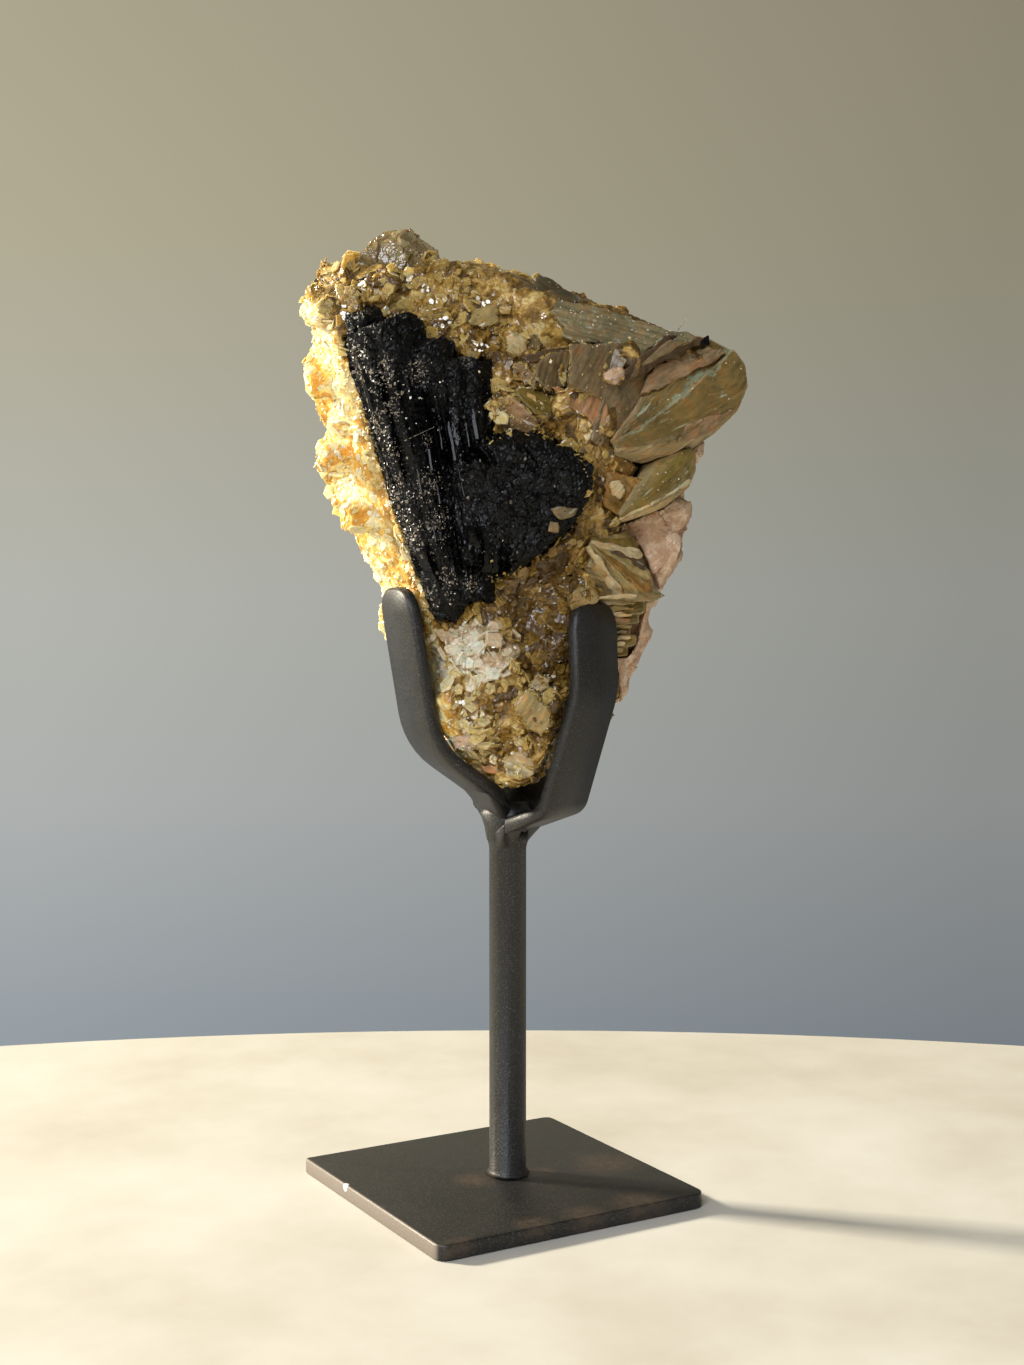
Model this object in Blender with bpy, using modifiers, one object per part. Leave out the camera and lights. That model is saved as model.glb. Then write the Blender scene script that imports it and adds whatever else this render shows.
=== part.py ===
"""Black tourmaline with mica: a pegmatite specimen held in a three-prong steel stand.

The frame is in metres with +Z up. The origin is the middle of the square foot, on the
table, and the plate's sides run along X and Y. The cradle and the stone are turned about
the post, so they are modelled facing -Y under one empty, which turns them together.
Millimetres are written as plain numbers and scaled by MM.
"""

import math
import random

import bmesh
import bpy
from mathutils import Matrix, Vector, noise

MM = 0.001
SEED = 7

# Foot and post: flat plate and round bar, welded.
PLATE_SIDE = 76.2
PLATE_THICK = 4.0
PLATE_CORNERS = {(-1, -1): 3.2, (1, -1): 3.4, (1, 1): 2.4, (-1, 1): 1.2}
PLATE_EDGE = 0.5
POST_DIAMETER = 9.5
POST_TOP = 97.0
POST_OFFSET = (1.9, -0.7)
SPECIMEN_TURN = -30.1

# Cradle: three lengths of the same flat bar, bent and welded to the top of the post.
# A route is (distance from the post's axis, height), with a bend radius at each inner point.
BAR_WIDTH = 19.0
BAR_THICK = 3.2
BAR_EDGE = 0.7
TIP_RADIUS = 6.5
PRONGS = {
    "left_prong": (-64.75, [(-2.3, 97.8), (23.5, 116.1), (30.2, 155.6)], [20.0]),
    "right_prong": (
        55.25,
        [(-2.3, 93.0), (16.5, 100.0), (26.2, 130.0), (25.2, 152.0)],
        [4.5, 22.0],
    ),
    "back_prong": (175.25, [(-2.3, 95.4), (21.0, 110.5), (26.0, 152.0)], [14.0]),
}

# Welds round the post, at its foot and at its head, by rings: height above the plate's top or
# the table, how far the ring stands out from the post, and its unevenness.
FOOT_WELD = [(0.0, 0.9, 0.3), (0.7, 0.4, 0.2), (1.9, -0.4, 0.1)]
HEAD_WELD = [(89.6, -0.4, 0.1), (91.2, 0.6, 0.3), (94.5, 1.3, 0.4), (98.0, 2.0, 0.5), (100.6, 0.2, 0.5)]
WELD_STEPS = 14
# The prongs' inner ends are mitred to this angle each side, and their long corners bevelled.
MITRE_ANGLE = 60
CORNER_ANGLE = 50

# The gap left around a bent bar, and around a crystal that lies in a bed of its own form.
GAP = 0.42
BED_GAP = 0.5
# The size of a cell where a rough mass is modelled, and the corner above which a turned piece
# is shaded sharp.
CELL = 1.5
ROUND_ANGLE = 35
# Crystal facets of each rough mass, as (facet size, height of its steps), and its triangles.
MASS_FACETS = [(17, 3.2), (8, 1.7)]
MASS_TRIANGLES = 2100
SPAR_FACETS = [(11, 2.0), (6, 1.2)]
SPAR_TRIANGLES = 520
STUB_FACETS = [(6.5, 1.2), (3.5, 0.8)]
STUB_TRIANGLES = 440

# The broken-up skins of the rough masses cross themselves in places, where only this solver holds.
ROUGH_SOLVER = "MANIFOLD"

# Finishes: colour, roughness and metallic value.
FINISHES = {
    "black powder coat": ((0.016, 0.016, 0.015), 0.5, 0.0),
    "golden mica": ((0.38, 0.26, 0.11), 0.35, 0.0),
    "olive-brown mica": ((0.20, 0.15, 0.07), 0.35, 0.0),
    "black schorl": ((0.008, 0.008, 0.010), 0.3, 0.0),
    "pink feldspar": ((0.60, 0.42, 0.30), 0.5, 0.0),
    "grey quartz": ((0.50, 0.46, 0.40), 0.3, 0.0),
}

# The mica mass by height: left, front-left edge, front-right edge, right, front, back.
MATRIX_SECTIONS = [
    (105.6, 0.5, 2.0, 5.5, 8.0, -7, 2),
    (110, -10, -9, 6, 10, -11, 9),
    (117, -18, -13, 9, 20, -16, 17),
    (126, -25, -16, 11, 27, -19, 22),
    (140, -31, -16, 14, 34, -20, 23),
    (154, -33, -19, 16, 36, -20, 24),
    (165, -39, -23, 17, 40, -20, 25),
    (178, -46, -27, 19, 44, -21, 26),
    (192, -49, -30, 22, 45, -21, 25),
    (205, -49.5, -34, 24, 46, -20, 24),
    (217, -50.5, -39, 24, 43, -18, 22),
    (225, -51.5, -43, 18, 27, -17, 20),
    (231, -50.5, -43, 4, 11, -14, 17),
    (236, -47, -40, -9, -3, -10, 12),
    (239.5, -42, -36, -25, -21, -6, 7),
]

# Pink feldspar behind and to the right: height, left, right, front, back.
FELDSPAR_SECTIONS = [
    (122, 24, 27.5, 1, 10),
    (133, 20, 32, -1, 17),
    (147, 20, 36.5, -2, 21),
    (157, 22, 38, -3, 23),
    (163.5, 24, 44, -3, 23),
    (168, 24, 43, -3, 24),
    (173, 24, 46, -4, 24),
    (182, 26, 45, -4, 24),
    (189, 29, 48.5, -3, 23),
    (195, 34, 49, 0, 20),
]
# The plain block of space that the feldspar fills inside the mass: lowest and highest corner.
FELDSPAR_BED = ((25, -7, 112), (62, 40, 196))
FELDSPAR_BED_TURN = -9

# Tourmaline prisms: lower end, upper end, radius at each, number of grooves.
PRISMS = [
    ((-12.2, -19.5, 151.5), (-29.8, -20, 218.5), 7.0, 10.4, 13),
    ((-9, -20, 153), (-12, -19.5, 209.5), 5.8, 8.0, 11),
    ((-11, -19.5, 153), (-20, -21, 214.5), 5.5, 7.5, 9),
    ((-15, -17, 149.5), (-13.5, -21, 158), 4.0, 6.0, 7),
]
# Knobs on the worn heads of the long prisms: centre, half-sizes, seed.
HEAD_KNOBS = [
    ((-34.5, -20, 218.0), (5.2, 6.5, 6.3), 11),
    ((-25.0, -20, 216.5), (5.8, 6.5, 5.8), 12),
    ((-11.5, -20, 207.5), (6.8, 6.0, 4.8), 13),
]
# The stubby side crystal, seen on its worn end: its outline, across and up, and how far
# forward each section stands, with its share of that outline's size.
SIDE_OUTLINE = [
    (-10.0, 189.0),
    (-4.4, 192.0),
    (0.4, 192.9),
    (8.4, 191.6),
    (15.6, 188.8),
    (20.4, 184.4),
    (20.0, 179.4),
    (17.6, 174.0),
    (13.2, 168.6),
    (7.3, 163.4),
    (2.0, 159.2),
    (-4.5, 157.8),
    (-10.5, 162.0),
    (-13.0, 172.0),
    (-12.5, 182.0),
]
SIDE_MIDDLE = (3.8, 176.0)
SIDE_SECTIONS = [(-4.0, 0.84), (-16.0, 0.97), (-25.0, 1.0), (-28.6, 0.92), (-30.2, 0.74)]

# Mica books: where the sheets spring from, then by turns of the fan the angle above level, the
# length and how far back the face stands there, then how deep the book reaches at its root and
# at its rim: front and back of each. Two turns close together are a ledge between bundles.
BOOKS = {
    "mica_book_upper": (
        (23, 189),
        [
            (-14, 14, 1.5),
            (-5, 20, 1.2),
            (-3.6, 21.5, 0.0),
            (5, 28, -0.2),
            (6.4, 29.5, -1.0),
            (13, 36, -0.8),
            (20, 40.5, -0.5),
            (27, 42.5, -0.3),
            (33, 42.3, -0.6),
            (34.3, 41.5, 0.5),
            (41, 39.8, 0.3),
            (42.2, 39.3, -0.6),
            (50, 36.5, -0.2),
            (54, 34.5, 0.4),
        ],
        ((-21, 8), (-7, 14)),
    ),
    "mica_book_middle": (
        (25, 171.5),
        [
            (13, 15, 0.6),
            (20, 22, 0.3),
            (27, 25.5, -0.2),
            (34, 28, -0.5),
            (41, 28, -0.4),
            (48, 25, 0.2),
            (55, 19, 0.8),
        ],
        ((-19, 2), (-9, 8)),
    ),
    "mica_book_lower": (
        (17.5, 163.5),
        [
            (-66, 15, 0.8),
            (-48, 16, 0.2),
            (-46.6, 16.5, -0.7),
            (-35, 22, -0.4),
            (-29, 24, -0.2),
            (-27.6, 21, 0.7),
            (-16, 18.5, 0.5),
            (-14.6, 17, -0.5),
            (-3, 15, -0.3),
            (-1.5, 14.5, 0.6),
            (12, 15, 0.3),
            (27, 12, 0.6),
        ],
        ((-19, 2), (-7, 5)),
    ),
}
SHEET_BEND = 9
ROOT_RADIUS = 3.0
RIM_ROUND = 1.2

# Edge-on stack beside the right prong: plates by height, thickness, left, right, front.
STACK_PLATES = [
    (137.5, 2.6, 20, 30.5, -3.0),
    (140.1, 2.4, 20, 32.5, -4.2),
    (142.5, 3.4, 20, 31.0, -2.6),
    (145.9, 2.4, 20, 33.0, -4.6),
    (148.3, 2.6, 18, 34.5, -5.2),
]
STACK_BACK = 6
STACK_TILT = 0.06

# Flat mica plates grown on the mass: centre, size (across, thick, up), turns about X, Y, Z.
PLATES = [
    ((9, -19.5, 208), (14, 5, 12), (12, 18, 8)),
    ((25, -18, 209), (18, 5, 11), (20, -22, -14)),
    ((2, -19, 215.5), (9, 6, 8), (0, 35, 20)),
    ((-1.5, -21, 199), (9, 6, 11), (-8, 40, 12)),
    ((5, -21, 198), (10, 6, 9), (-4, 10, -6)),
    ((15, -20, 200), (12, 6, 7), (14, -20, -6)),
    ((27, -11.5, 218.5), (38, 6, 12), (32, 17, 2)),
    ((7, -13.5, 223), (14, 7, 11), (28, -10, 10)),
    ((39, -7.5, 214.5), (24, 7, 9), (30, 18, 6)),
    ((-9, -16, 223), (11, 7, 10), (20, 25, -12)),
    ((-31, -15, 229), (12, 8, 9), (25, -12, -20)),
    ((-46, -10, 225), (10, 8, 12), (10, 10, -50)),
    ((16, -20, 157), (11, 6, 8), (-6, 22, 10)),
    ((6, -19.5, 127), (10, 7, 12), (-16, 30, 14)),
    ((-7, -17.5, 122), (10, 7, 9), (-20, -20, -12)),
    ((2, -13, 112), (12, 7, 9), (-34, 8, 10)),
    ((-43, -6, 188), (7, 9, 9), (0, 14, -62)),
    ((-46, -3, 207), (7, 9, 11), (4, -10, -66)),
    ((-37, -7, 173), (7, 9, 9), (0, 28, -58)),
    ((1, -5, 230), (15, 12, 7), (6, 8, 10)),
    ((-12, -4, 232), (11, 11, 6), (-5, -6, 24)),
    ((16, -4, 223), (14, 14, 6), (-4, 22, -8)),
]
PLATE_SIDES = 7
LUMP_POINTS = 26

# Quartz: centre, half-sizes, seed of its broken faces.
QUARTZ = {
    "quartz_patch": ((-6.5, -18.5, 140.0), (9.5, 5.2, 8.0), 4),
    "quartz_crown": ((-28.0, -4.0, 233.5), (13.0, 10.0, 11.0), 5),
}


def clear_scene():
    for existing in list(bpy.data.objects):
        bpy.data.objects.remove(existing, do_unlink=True)


def make_collection(name):
    collection = bpy.data.collections.new(name)
    bpy.context.scene.collection.children.link(collection)
    return collection


def make_material(name, finish):
    """A piece's own material, in one of the finishes."""
    colour, roughness, metallic = FINISHES[finish]
    material = bpy.data.materials.new(finish + " of " + name)
    material.use_nodes = True
    shader = material.node_tree.nodes["Principled BSDF"]
    shader.inputs["Base Color"].default_value = (*colour, 1.0)
    shader.inputs["Roughness"].default_value = roughness
    shader.inputs["Metallic"].default_value = metallic
    material.diffuse_color = (*colour, 1.0)
    return material


def make_object(name, bm, finish, parent=None):
    """A mesh object in the part's collection, from a bmesh drawn in millimetres."""
    bmesh.ops.scale(bm, vec=Vector((MM, MM, MM)), verts=bm.verts)
    bmesh.ops.recalc_face_normals(bm, faces=bm.faces)
    mesh = bpy.data.meshes.new(name)
    bm.to_mesh(mesh)
    bm.free()
    mesh.materials.append(make_material(name, finish))
    piece = bpy.data.objects.new(name, mesh)
    part.objects.link(piece)
    piece.parent = parent
    bpy.context.view_layer.update()
    return piece


def apply_modifiers(piece):
    """Swap the piece's mesh for the one that its modifiers make."""
    bpy.context.view_layer.update()
    graph = bpy.context.evaluated_depsgraph_get()
    mesh = bpy.data.meshes.new_from_object(piece.evaluated_get(graph))
    piece.modifiers.clear()
    piece.data = mesh
    return piece


def keep_largest(piece):
    """Delete the loose crumbs that a cut leaves, so that one body stays."""
    bm = bmesh.new()
    bm.from_mesh(piece.data)
    waiting = set(bm.faces)
    bodies = []
    while waiting:
        front = [waiting.pop()]
        body = list(front)
        while front:
            shared = [edge for face in front for edge in face.edges if len(edge.link_faces) == 2]
            reached = {face for edge in shared for face in edge.link_faces}
            front = list(reached & waiting)
            waiting -= reached
            body += front
        bodies.append(body)
    bodies.sort(key=len)
    for crumb in bodies[:-1]:
        bmesh.ops.delete(bm, geom=crumb, context="FACES")
    bmesh.ops.triangulate(bm, faces=bm.faces)
    bm.to_mesh(piece.data)
    bm.free()


def close_up(piece):
    """Merge the points that cuts leave almost together, so that no thread joins two bodies."""
    bm = bmesh.new()
    bm.from_mesh(piece.data)
    bmesh.ops.remove_doubles(bm, verts=bm.verts, dist=0.008 * MM)
    bm.to_mesh(piece.data)
    bm.free()
    keep_largest(piece)


def make_cutter(piece):
    """A copy of a piece grown by the gap, which cuts its seat in a neighbour."""
    bm = bmesh.new()
    bm.from_mesh(piece.data)
    bmesh.ops.remove_doubles(bm, verts=bm.verts, dist=0.002 * MM)
    bm.normal_update()
    moves = [vert.normal * vert.calc_shell_factor() for vert in bm.verts]
    for vert, move in zip(bm.verts, moves):
        vert.co += move.normalized() * min(move.length, 1.8) * GAP * MM
    bmesh.ops.triangulate(bm, faces=bm.faces)
    return hide_cutter("seat_of_" + piece.name, bm, piece.parent)


def make_bed(piece):
    """The hull of a blunt piece, grown by the gap on every side, which cuts its bed in a neighbour."""
    bm = bmesh.new()
    for vert in piece.data.vertices:
        for axis in (Vector((1, 0, 0)), Vector((0, 1, 0)), Vector((0, 0, 1))):
            for side in (-1, 1):
                bm.verts.new(vert.co + axis * side * BED_GAP * MM)
    hull = bmesh.ops.convex_hull(bm, input=bm.verts)
    inside = [item for item in hull["geom_interior"] if isinstance(item, bmesh.types.BMVert)]
    bmesh.ops.delete(bm, geom=inside, context="VERTS")
    return hide_cutter("bed_of_" + piece.name, bm, piece.parent)


def hide_cutter(name, bm, parent):
    """A helper object that only cuts: in the cutters' collection, left out of renders."""
    bmesh.ops.recalc_face_normals(bm, faces=bm.faces)
    mesh = bpy.data.meshes.new(name)
    bm.to_mesh(mesh)
    bm.free()
    cutter = bpy.data.objects.new(name, mesh)
    cutters.objects.link(cutter)
    cutter.parent = parent
    cutter.hide_render = True
    cutter.display_type = "WIRE"
    bpy.context.view_layer.update()
    return cutter


def boolean(piece, others, operation, solver="EXACT"):
    for other in others:
        modifier = piece.modifiers.new(operation.title(), "BOOLEAN")
        modifier.operation = operation
        modifier.solver = solver
        modifier.object = other
    return apply_modifiers(piece)


def carve(piece, neighbours, solver="EXACT"):
    """Cut a seat in a piece for each neighbour that is pressed into it."""
    for name in neighbours:
        boolean(piece, [seats[name]], "DIFFERENCE", solver)
        keep_largest(piece)


def fuse(piece, others, solver="EXACT"):
    """Join other objects to a piece, which then stands for them all."""
    boolean(piece, others, "UNION", solver)
    for other in others:
        bpy.data.objects.remove(other, do_unlink=True)
    keep_largest(piece)
    return piece


def shade_round(piece):
    """Shade a turned piece smooth, and keep its real corners sharp."""
    piece.data.shade_smooth()
    piece.data.set_sharp_from_angle(angle=math.radians(ROUND_ANGLE))


def loft(bm, rings):
    """A closed skin over rings of points that all have the same count."""
    loops = []
    for ring in rings:
        verts = [bm.verts.new(point) for point in ring]
        edges = [bm.edges.new((a, b)) for a, b in zip(verts, verts[1:] + verts[:1])]
        loops.append(edges)
    for lower, upper in zip(loops, loops[1:]):
        bmesh.ops.bridge_loops(bm, edges=lower + upper)
    bmesh.ops.holes_fill(bm, edges=loops[0] + loops[-1], sides=0)
    bmesh.ops.triangulate(bm, faces=bm.faces)


def remesh(piece, cell):
    modifier = piece.modifiers.new("Cells", "REMESH")
    modifier.mode = "VOXEL"
    modifier.voxel_size = cell * MM
    return apply_modifiers(piece)


def facet(point, size, shift):
    """How far a cleaved facet stands out at a point: flat tilted cells, each a step apart."""
    seeds = noise.voronoi(point / size + Vector((shift, shift, shift)))[1]
    tilt = noise.cell_vector(seeds[0] * 9.7) * 2 - Vector((1, 1, 1))
    reach = point / size + Vector((shift, shift, shift)) - seeds[0]
    return 0.45 * tilt.z + 0.9 * reach.dot(tilt)


def break_up(piece, layers, triangles):
    """Break a smooth skin into crystal facets, then spend triangles only on the edges.

    Each layer is (facet size, height of its steps) in millimetres.
    """
    mesh = piece.data
    normals = [vert.normal.copy() for vert in mesh.vertices]
    for vert, normal in zip(mesh.vertices, normals):
        point = vert.co / MM
        height = sum(step * facet(point, size, index + SEED) for index, (size, step) in enumerate(layers))
        vert.co += normal * height * MM
    mesh.update()
    remesh(piece, CELL)
    keep_largest(piece)
    thin = piece.modifiers.new("Thin", "DECIMATE")
    thin.ratio = triangles / len(piece.data.polygons)
    return apply_modifiers(piece)


def make_plate():
    bm = bmesh.new()
    size = Matrix.Diagonal((PLATE_SIDE, PLATE_SIDE, PLATE_THICK, 1))
    lift = Matrix.Translation((0, 0, PLATE_THICK / 2))
    bmesh.ops.create_cube(bm, size=1, matrix=lift @ size)
    for (side_x, side_y), radius in PLATE_CORNERS.items():
        edges = [
            edge
            for edge in bm.edges
            if all(vert.co.x * side_x > PLATE_SIDE * 0.49 for vert in edge.verts)
            and all(vert.co.y * side_y > PLATE_SIDE * 0.49 for vert in edge.verts)
        ]
        bmesh.ops.bevel(bm, geom=edges, offset=radius, segments=4, profile=0.5, affect="EDGES")
    plate = make_object("base_plate", bm, "black powder coat")
    rim = plate.modifiers.new("Eased rim", "BEVEL")
    rim.width = PLATE_EDGE * MM
    rim.segments = 2
    return plate


def bend_route(corners, radii):
    """Points along a bent bar's middle line, with an arc at each inner corner."""
    points = [Vector(corners[0])]
    for before, corner, after, radius in zip(corners, corners[1:], corners[2:], radii):
        corner = Vector(corner)
        towards = (Vector(before) - corner).normalized()
        away = (Vector(after) - corner).normalized()
        half = towards.angle(away) / 2
        centre = corner + (towards + away).normalized() * radius / math.sin(half)
        start = (corner + towards * radius / math.tan(half) - centre).normalized()
        end = (corner + away * radius / math.tan(half) - centre).normalized()
        for step in range(7):
            points.append(centre + start.slerp(end, step / 6) * radius)
    tip = Vector(corners[-1])
    along = (tip - points[-1]).normalized()
    for back in (1.0, 0.55, 0.25, 0.08, 0.0):
        points.append(tip - along * TIP_RADIUS * back)
    return points


def make_prong(name, angle, corners, radii, parent):
    """A bent flat bar with rounded tip corners and an inner end mitred to a point."""
    route = bend_route(corners, radii)
    bm = bmesh.new()
    rows = []
    for point in route:
        from_tip = min((route[-1] - point).length, TIP_RADIUS)
        inset = TIP_RADIUS - math.sqrt(TIP_RADIUS**2 - (TIP_RADIUS - from_tip) ** 2)
        half = BAR_WIDTH / 2 - inset
        rows.append([bm.verts.new((side * half, -point.x, point.y)) for side in (-1, 1)])
    for lower, upper in zip(rows, rows[1:]):
        bm.faces.new((lower[0], lower[1], upper[1], upper[0]))
    bmesh.ops.recalc_face_normals(bm, faces=bm.faces)
    for vert in bm.verts:
        vert.co += vert.normal * BAR_THICK / 2
    bmesh.ops.solidify(bm, geom=bm.faces, thickness=BAR_THICK)
    bmesh.ops.recalc_face_normals(bm, faces=bm.faces)
    sharp = [edge for edge in bm.edges if edge.calc_face_angle() > math.radians(CORNER_ANGLE)]
    bmesh.ops.bevel(bm, geom=sharp, offset=BAR_EDGE, segments=1, profile=0.5, affect="EDGES")
    for side in (-1, 1):
        mitre = Vector((side * math.cos(math.radians(MITRE_ANGLE)), math.sin(math.radians(MITRE_ANGLE)), 0))
        cut = bmesh.ops.bisect_plane(
            bm,
            geom=bm.verts[:] + bm.edges[:] + bm.faces[:],
            plane_co=-mitre * GAP / 2,
            plane_no=mitre,
            clear_outer=True,
        )
        edges = [item for item in cut["geom_cut"] if isinstance(item, bmesh.types.BMEdge)]
        bmesh.ops.holes_fill(bm, edges=edges, sides=0)
    bmesh.ops.rotate(bm, verts=bm.verts, matrix=Matrix.Rotation(math.radians(angle), 3, "Z"))
    return make_object(name, bm, "black powder coat", parent)


def weld_lump(name, base, rings, parent):
    """A ring of cooled weld metal round the post, with a hand-laid unevenness."""
    bm = bmesh.new()
    loops = []
    for height, proud, wave in rings:
        loop = []
        for step in range(WELD_STEPS):
            turn = math.tau * step / WELD_STEPS
            uneven = wave * math.sin(3 * turn + height) + 0.3 * wave * math.sin(7 * turn)
            reach = POST_DIAMETER / 2 + proud + uneven
            loop.append((reach * math.cos(turn), reach * math.sin(turn), base + height))
        loops.append(loop)
    loft(bm, loops)
    return make_object(name, bm, "black powder coat", parent)


def make_post(parent):
    bm = bmesh.new()
    foot = PLATE_THICK + GAP
    bmesh.ops.create_cone(
        bm,
        cap_ends=True,
        segments=28,
        radius1=POST_DIAMETER / 2,
        radius2=POST_DIAMETER / 2,
        depth=POST_TOP - foot,
        matrix=Matrix.Translation((0, 0, (POST_TOP + foot) / 2)),
    )
    post = make_object("post", bm, "black powder coat", parent)
    foot_bead = weld_lump("foot_bead", foot, FOOT_WELD, parent)
    head_bead = weld_lump("head_bead", 0, HEAD_WELD, parent)
    return fuse(post, [foot_bead, head_bead])


def matrix_ring(height, left, left_edge, right_edge, right, front, back):
    deep = back - front
    return [
        (left, front + 0.62 * deep, height),
        (left_edge, front + 0.03 * deep, height),
        ((left_edge + right_edge) / 2, front, height),
        (right_edge, front + 0.02 * deep, height),
        (right, front + 0.66 * deep, height),
        (right_edge + 0.45 * (right - right_edge), back, height),
        (left_edge + 0.45 * (left - left_edge), back, height),
    ]


def make_slab(centre, size, turns, seed):
    """One flat mica plate: an uneven, many-sided tablet with a sloping rim and its own tilt."""
    draw = random.Random(seed)
    bm = bmesh.new()
    for step in range(PLATE_SIDES):
        turn = math.tau * (step + draw.uniform(-0.3, 0.3)) / PLATE_SIDES
        reach = draw.uniform(0.42, 0.56)
        for side, share in ((-1, draw.uniform(0.75, 0.95)), (1, 1.0)):
            depth = side * draw.uniform(0.35, 0.5)
            bm.verts.new((reach * share * math.cos(turn), depth, reach * share * math.sin(turn)))
    bmesh.ops.convex_hull(bm, input=bm.verts)
    bmesh.ops.scale(bm, vec=Vector(size), verts=bm.verts)
    tilt = Matrix.Identity(3)
    for angle, axis in zip(turns, "XYZ"):
        tilt = Matrix.Rotation(math.radians(angle), 3, axis) @ tilt
    bmesh.ops.rotate(bm, verts=bm.verts, matrix=tilt)
    bmesh.ops.translate(bm, verts=bm.verts, vec=Vector(centre))
    return bm


def make_matrix(parent):
    bm = bmesh.new()
    loft(bm, [matrix_ring(*row) for row in MATRIX_SECTIONS])
    matrix = remesh(make_object("mica_matrix", bm, "golden mica", parent), CELL)
    break_up(matrix, MASS_FACETS, MASS_TRIANGLES)
    slabs = [
        make_object("slab", make_slab(*row, SEED + index), "golden mica", parent)
        for index, row in enumerate(PLATES)
    ]
    return fuse(matrix, slabs, ROUGH_SOLVER)


def make_feldspar(parent):
    bm = bmesh.new()
    rings = []
    for height, left, right, front, back in FELDSPAR_SECTIONS:
        chamfer = 0.25 * min(right - left, back - front)
        rings.append(
            [
                (left, back - chamfer, height),
                (left, front + chamfer, height),
                (left + chamfer, front, height),
                (right - chamfer, front, height),
                (right, front + chamfer, height),
                (right, back - chamfer, height),
                (right - chamfer, back, height),
                (left + chamfer, back, height),
            ]
        )
    loft(bm, rings)
    lump = remesh(make_object("pink_feldspar", bm, "pink feldspar", parent), CELL)
    break_up(lump, SPAR_FACETS, SPAR_TRIANGLES)
    boolean(lump, [make_block(parent, 0)], "INTERSECT", ROUGH_SOLVER)
    keep_largest(lump)
    return lump


def make_block(parent, grown):
    """The block of space that the feldspar fills, grown on every side."""
    low, high = (Vector(corner) for corner in FELDSPAR_BED)
    size = high - low + Vector((2, 2, 2)) * grown
    bm = bmesh.new()
    bmesh.ops.create_cube(bm, size=1)
    bmesh.ops.scale(bm, vec=size, verts=bm.verts)
    bmesh.ops.rotate(bm, verts=bm.verts, matrix=Matrix.Rotation(math.radians(FELDSPAR_BED_TURN), 3, "Y"))
    bmesh.ops.translate(bm, verts=bm.verts, vec=(low + high) / 2)
    bmesh.ops.scale(bm, vec=Vector((MM, MM, MM)), verts=bm.verts)
    return hide_cutter("bed_of_pink_feldspar", bm, parent)


def make_prism(low, high, low_radius, high_radius, grooves, seed):
    """A tourmaline prism: long grooves down its sides and a rough, uneven end."""
    draw = random.Random(seed)
    low = Vector(low)
    high = Vector(high)
    axis = high - low
    columns = 2 * grooves
    swell = [draw.uniform(-0.05, 0.09) for _ in range(columns)]
    bm = bmesh.new()
    bmesh.ops.create_cone(
        bm,
        cap_ends=True,
        cap_tris=True,
        segments=columns,
        radius1=low_radius,
        radius2=high_radius,
        depth=axis.length,
    )
    sides = [edge for edge in bm.edges if abs(edge.verts[0].co.z - edge.verts[1].co.z) > axis.length / 2]
    bmesh.ops.subdivide_edges(bm, edges=sides, cuts=2, use_grid_fill=True)
    for vert in bm.verts:
        column = round(math.atan2(vert.co.y, vert.co.x) / math.tau * columns) % columns
        out = Vector((vert.co.x, vert.co.y, 0))
        rib = swell[column] + (0.045 if column % 2 else -0.045)
        # A tourmaline section is three-sided, with bulging faces.
        rib += 0.07 * math.cos(3 * column / columns * math.tau)
        at_end = abs(vert.co.z) > 0.49 * axis.length
        vert.co += out * (rib - (0.10 if at_end else 0.0) + draw.uniform(-0.02, 0.02))
        vert.co.z += draw.uniform(-1.3, 1.3) if at_end else draw.uniform(-2.5, 2.5)
    turn = axis.to_track_quat("Z", "Y").to_matrix()
    bmesh.ops.rotate(bm, verts=bm.verts, matrix=turn)
    bmesh.ops.translate(bm, verts=bm.verts, vec=(low + high) / 2)
    return bm


def make_lump(name, centre, half_sizes, seed, finish, parent):
    """A blunt broken lump: the hull of points scattered over a flattened ball."""
    draw = random.Random(seed)
    bm = bmesh.new()
    for _ in range(LUMP_POINTS):
        point = Vector((draw.gauss(0, 1), draw.gauss(0, 1), draw.gauss(0, 1)))
        bm.verts.new(point.normalized())
    bmesh.ops.convex_hull(bm, input=bm.verts)
    bmesh.ops.scale(bm, vec=Vector(half_sizes), verts=bm.verts)
    bmesh.ops.translate(bm, verts=bm.verts, vec=Vector(centre))
    return make_object(name, bm, finish, parent)


def make_side_crystal(parent):
    """A stubby crystal that points at the viewer, with a knobbly, granular end."""
    across, up = SIDE_MIDDLE
    rings = []
    for forward, share in SIDE_SECTIONS:
        ring = [(across + (x - across) * share, forward, up + (z - up) * share) for x, z in SIDE_OUTLINE]
        rings.append(ring)
    bm = bmesh.new()
    loft(bm, rings)
    crystal = remesh(make_object("side_crystal", bm, "black schorl", parent), CELL)
    return break_up(crystal, STUB_FACETS, STUB_TRIANGLES)


def make_tourmaline(parent):
    """The whole black crystal group, and the bed of each crystal in it."""
    crystals = [
        make_object("black_tourmaline", make_prism(*row, SEED + index), "black schorl", parent)
        for index, row in enumerate(PRISMS)
    ]
    crystals += [make_lump("knob", *row, "black schorl", parent) for row in HEAD_KNOBS]
    crystals.append(make_side_crystal(parent))
    beds = {"tourmaline_bed_" + str(index): make_bed(crystal) for index, crystal in enumerate(crystals)}
    group = fuse(crystals[0], crystals[1:], ROUGH_SOLVER)
    group.name = "black_tourmaline"
    return group, beds


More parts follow.
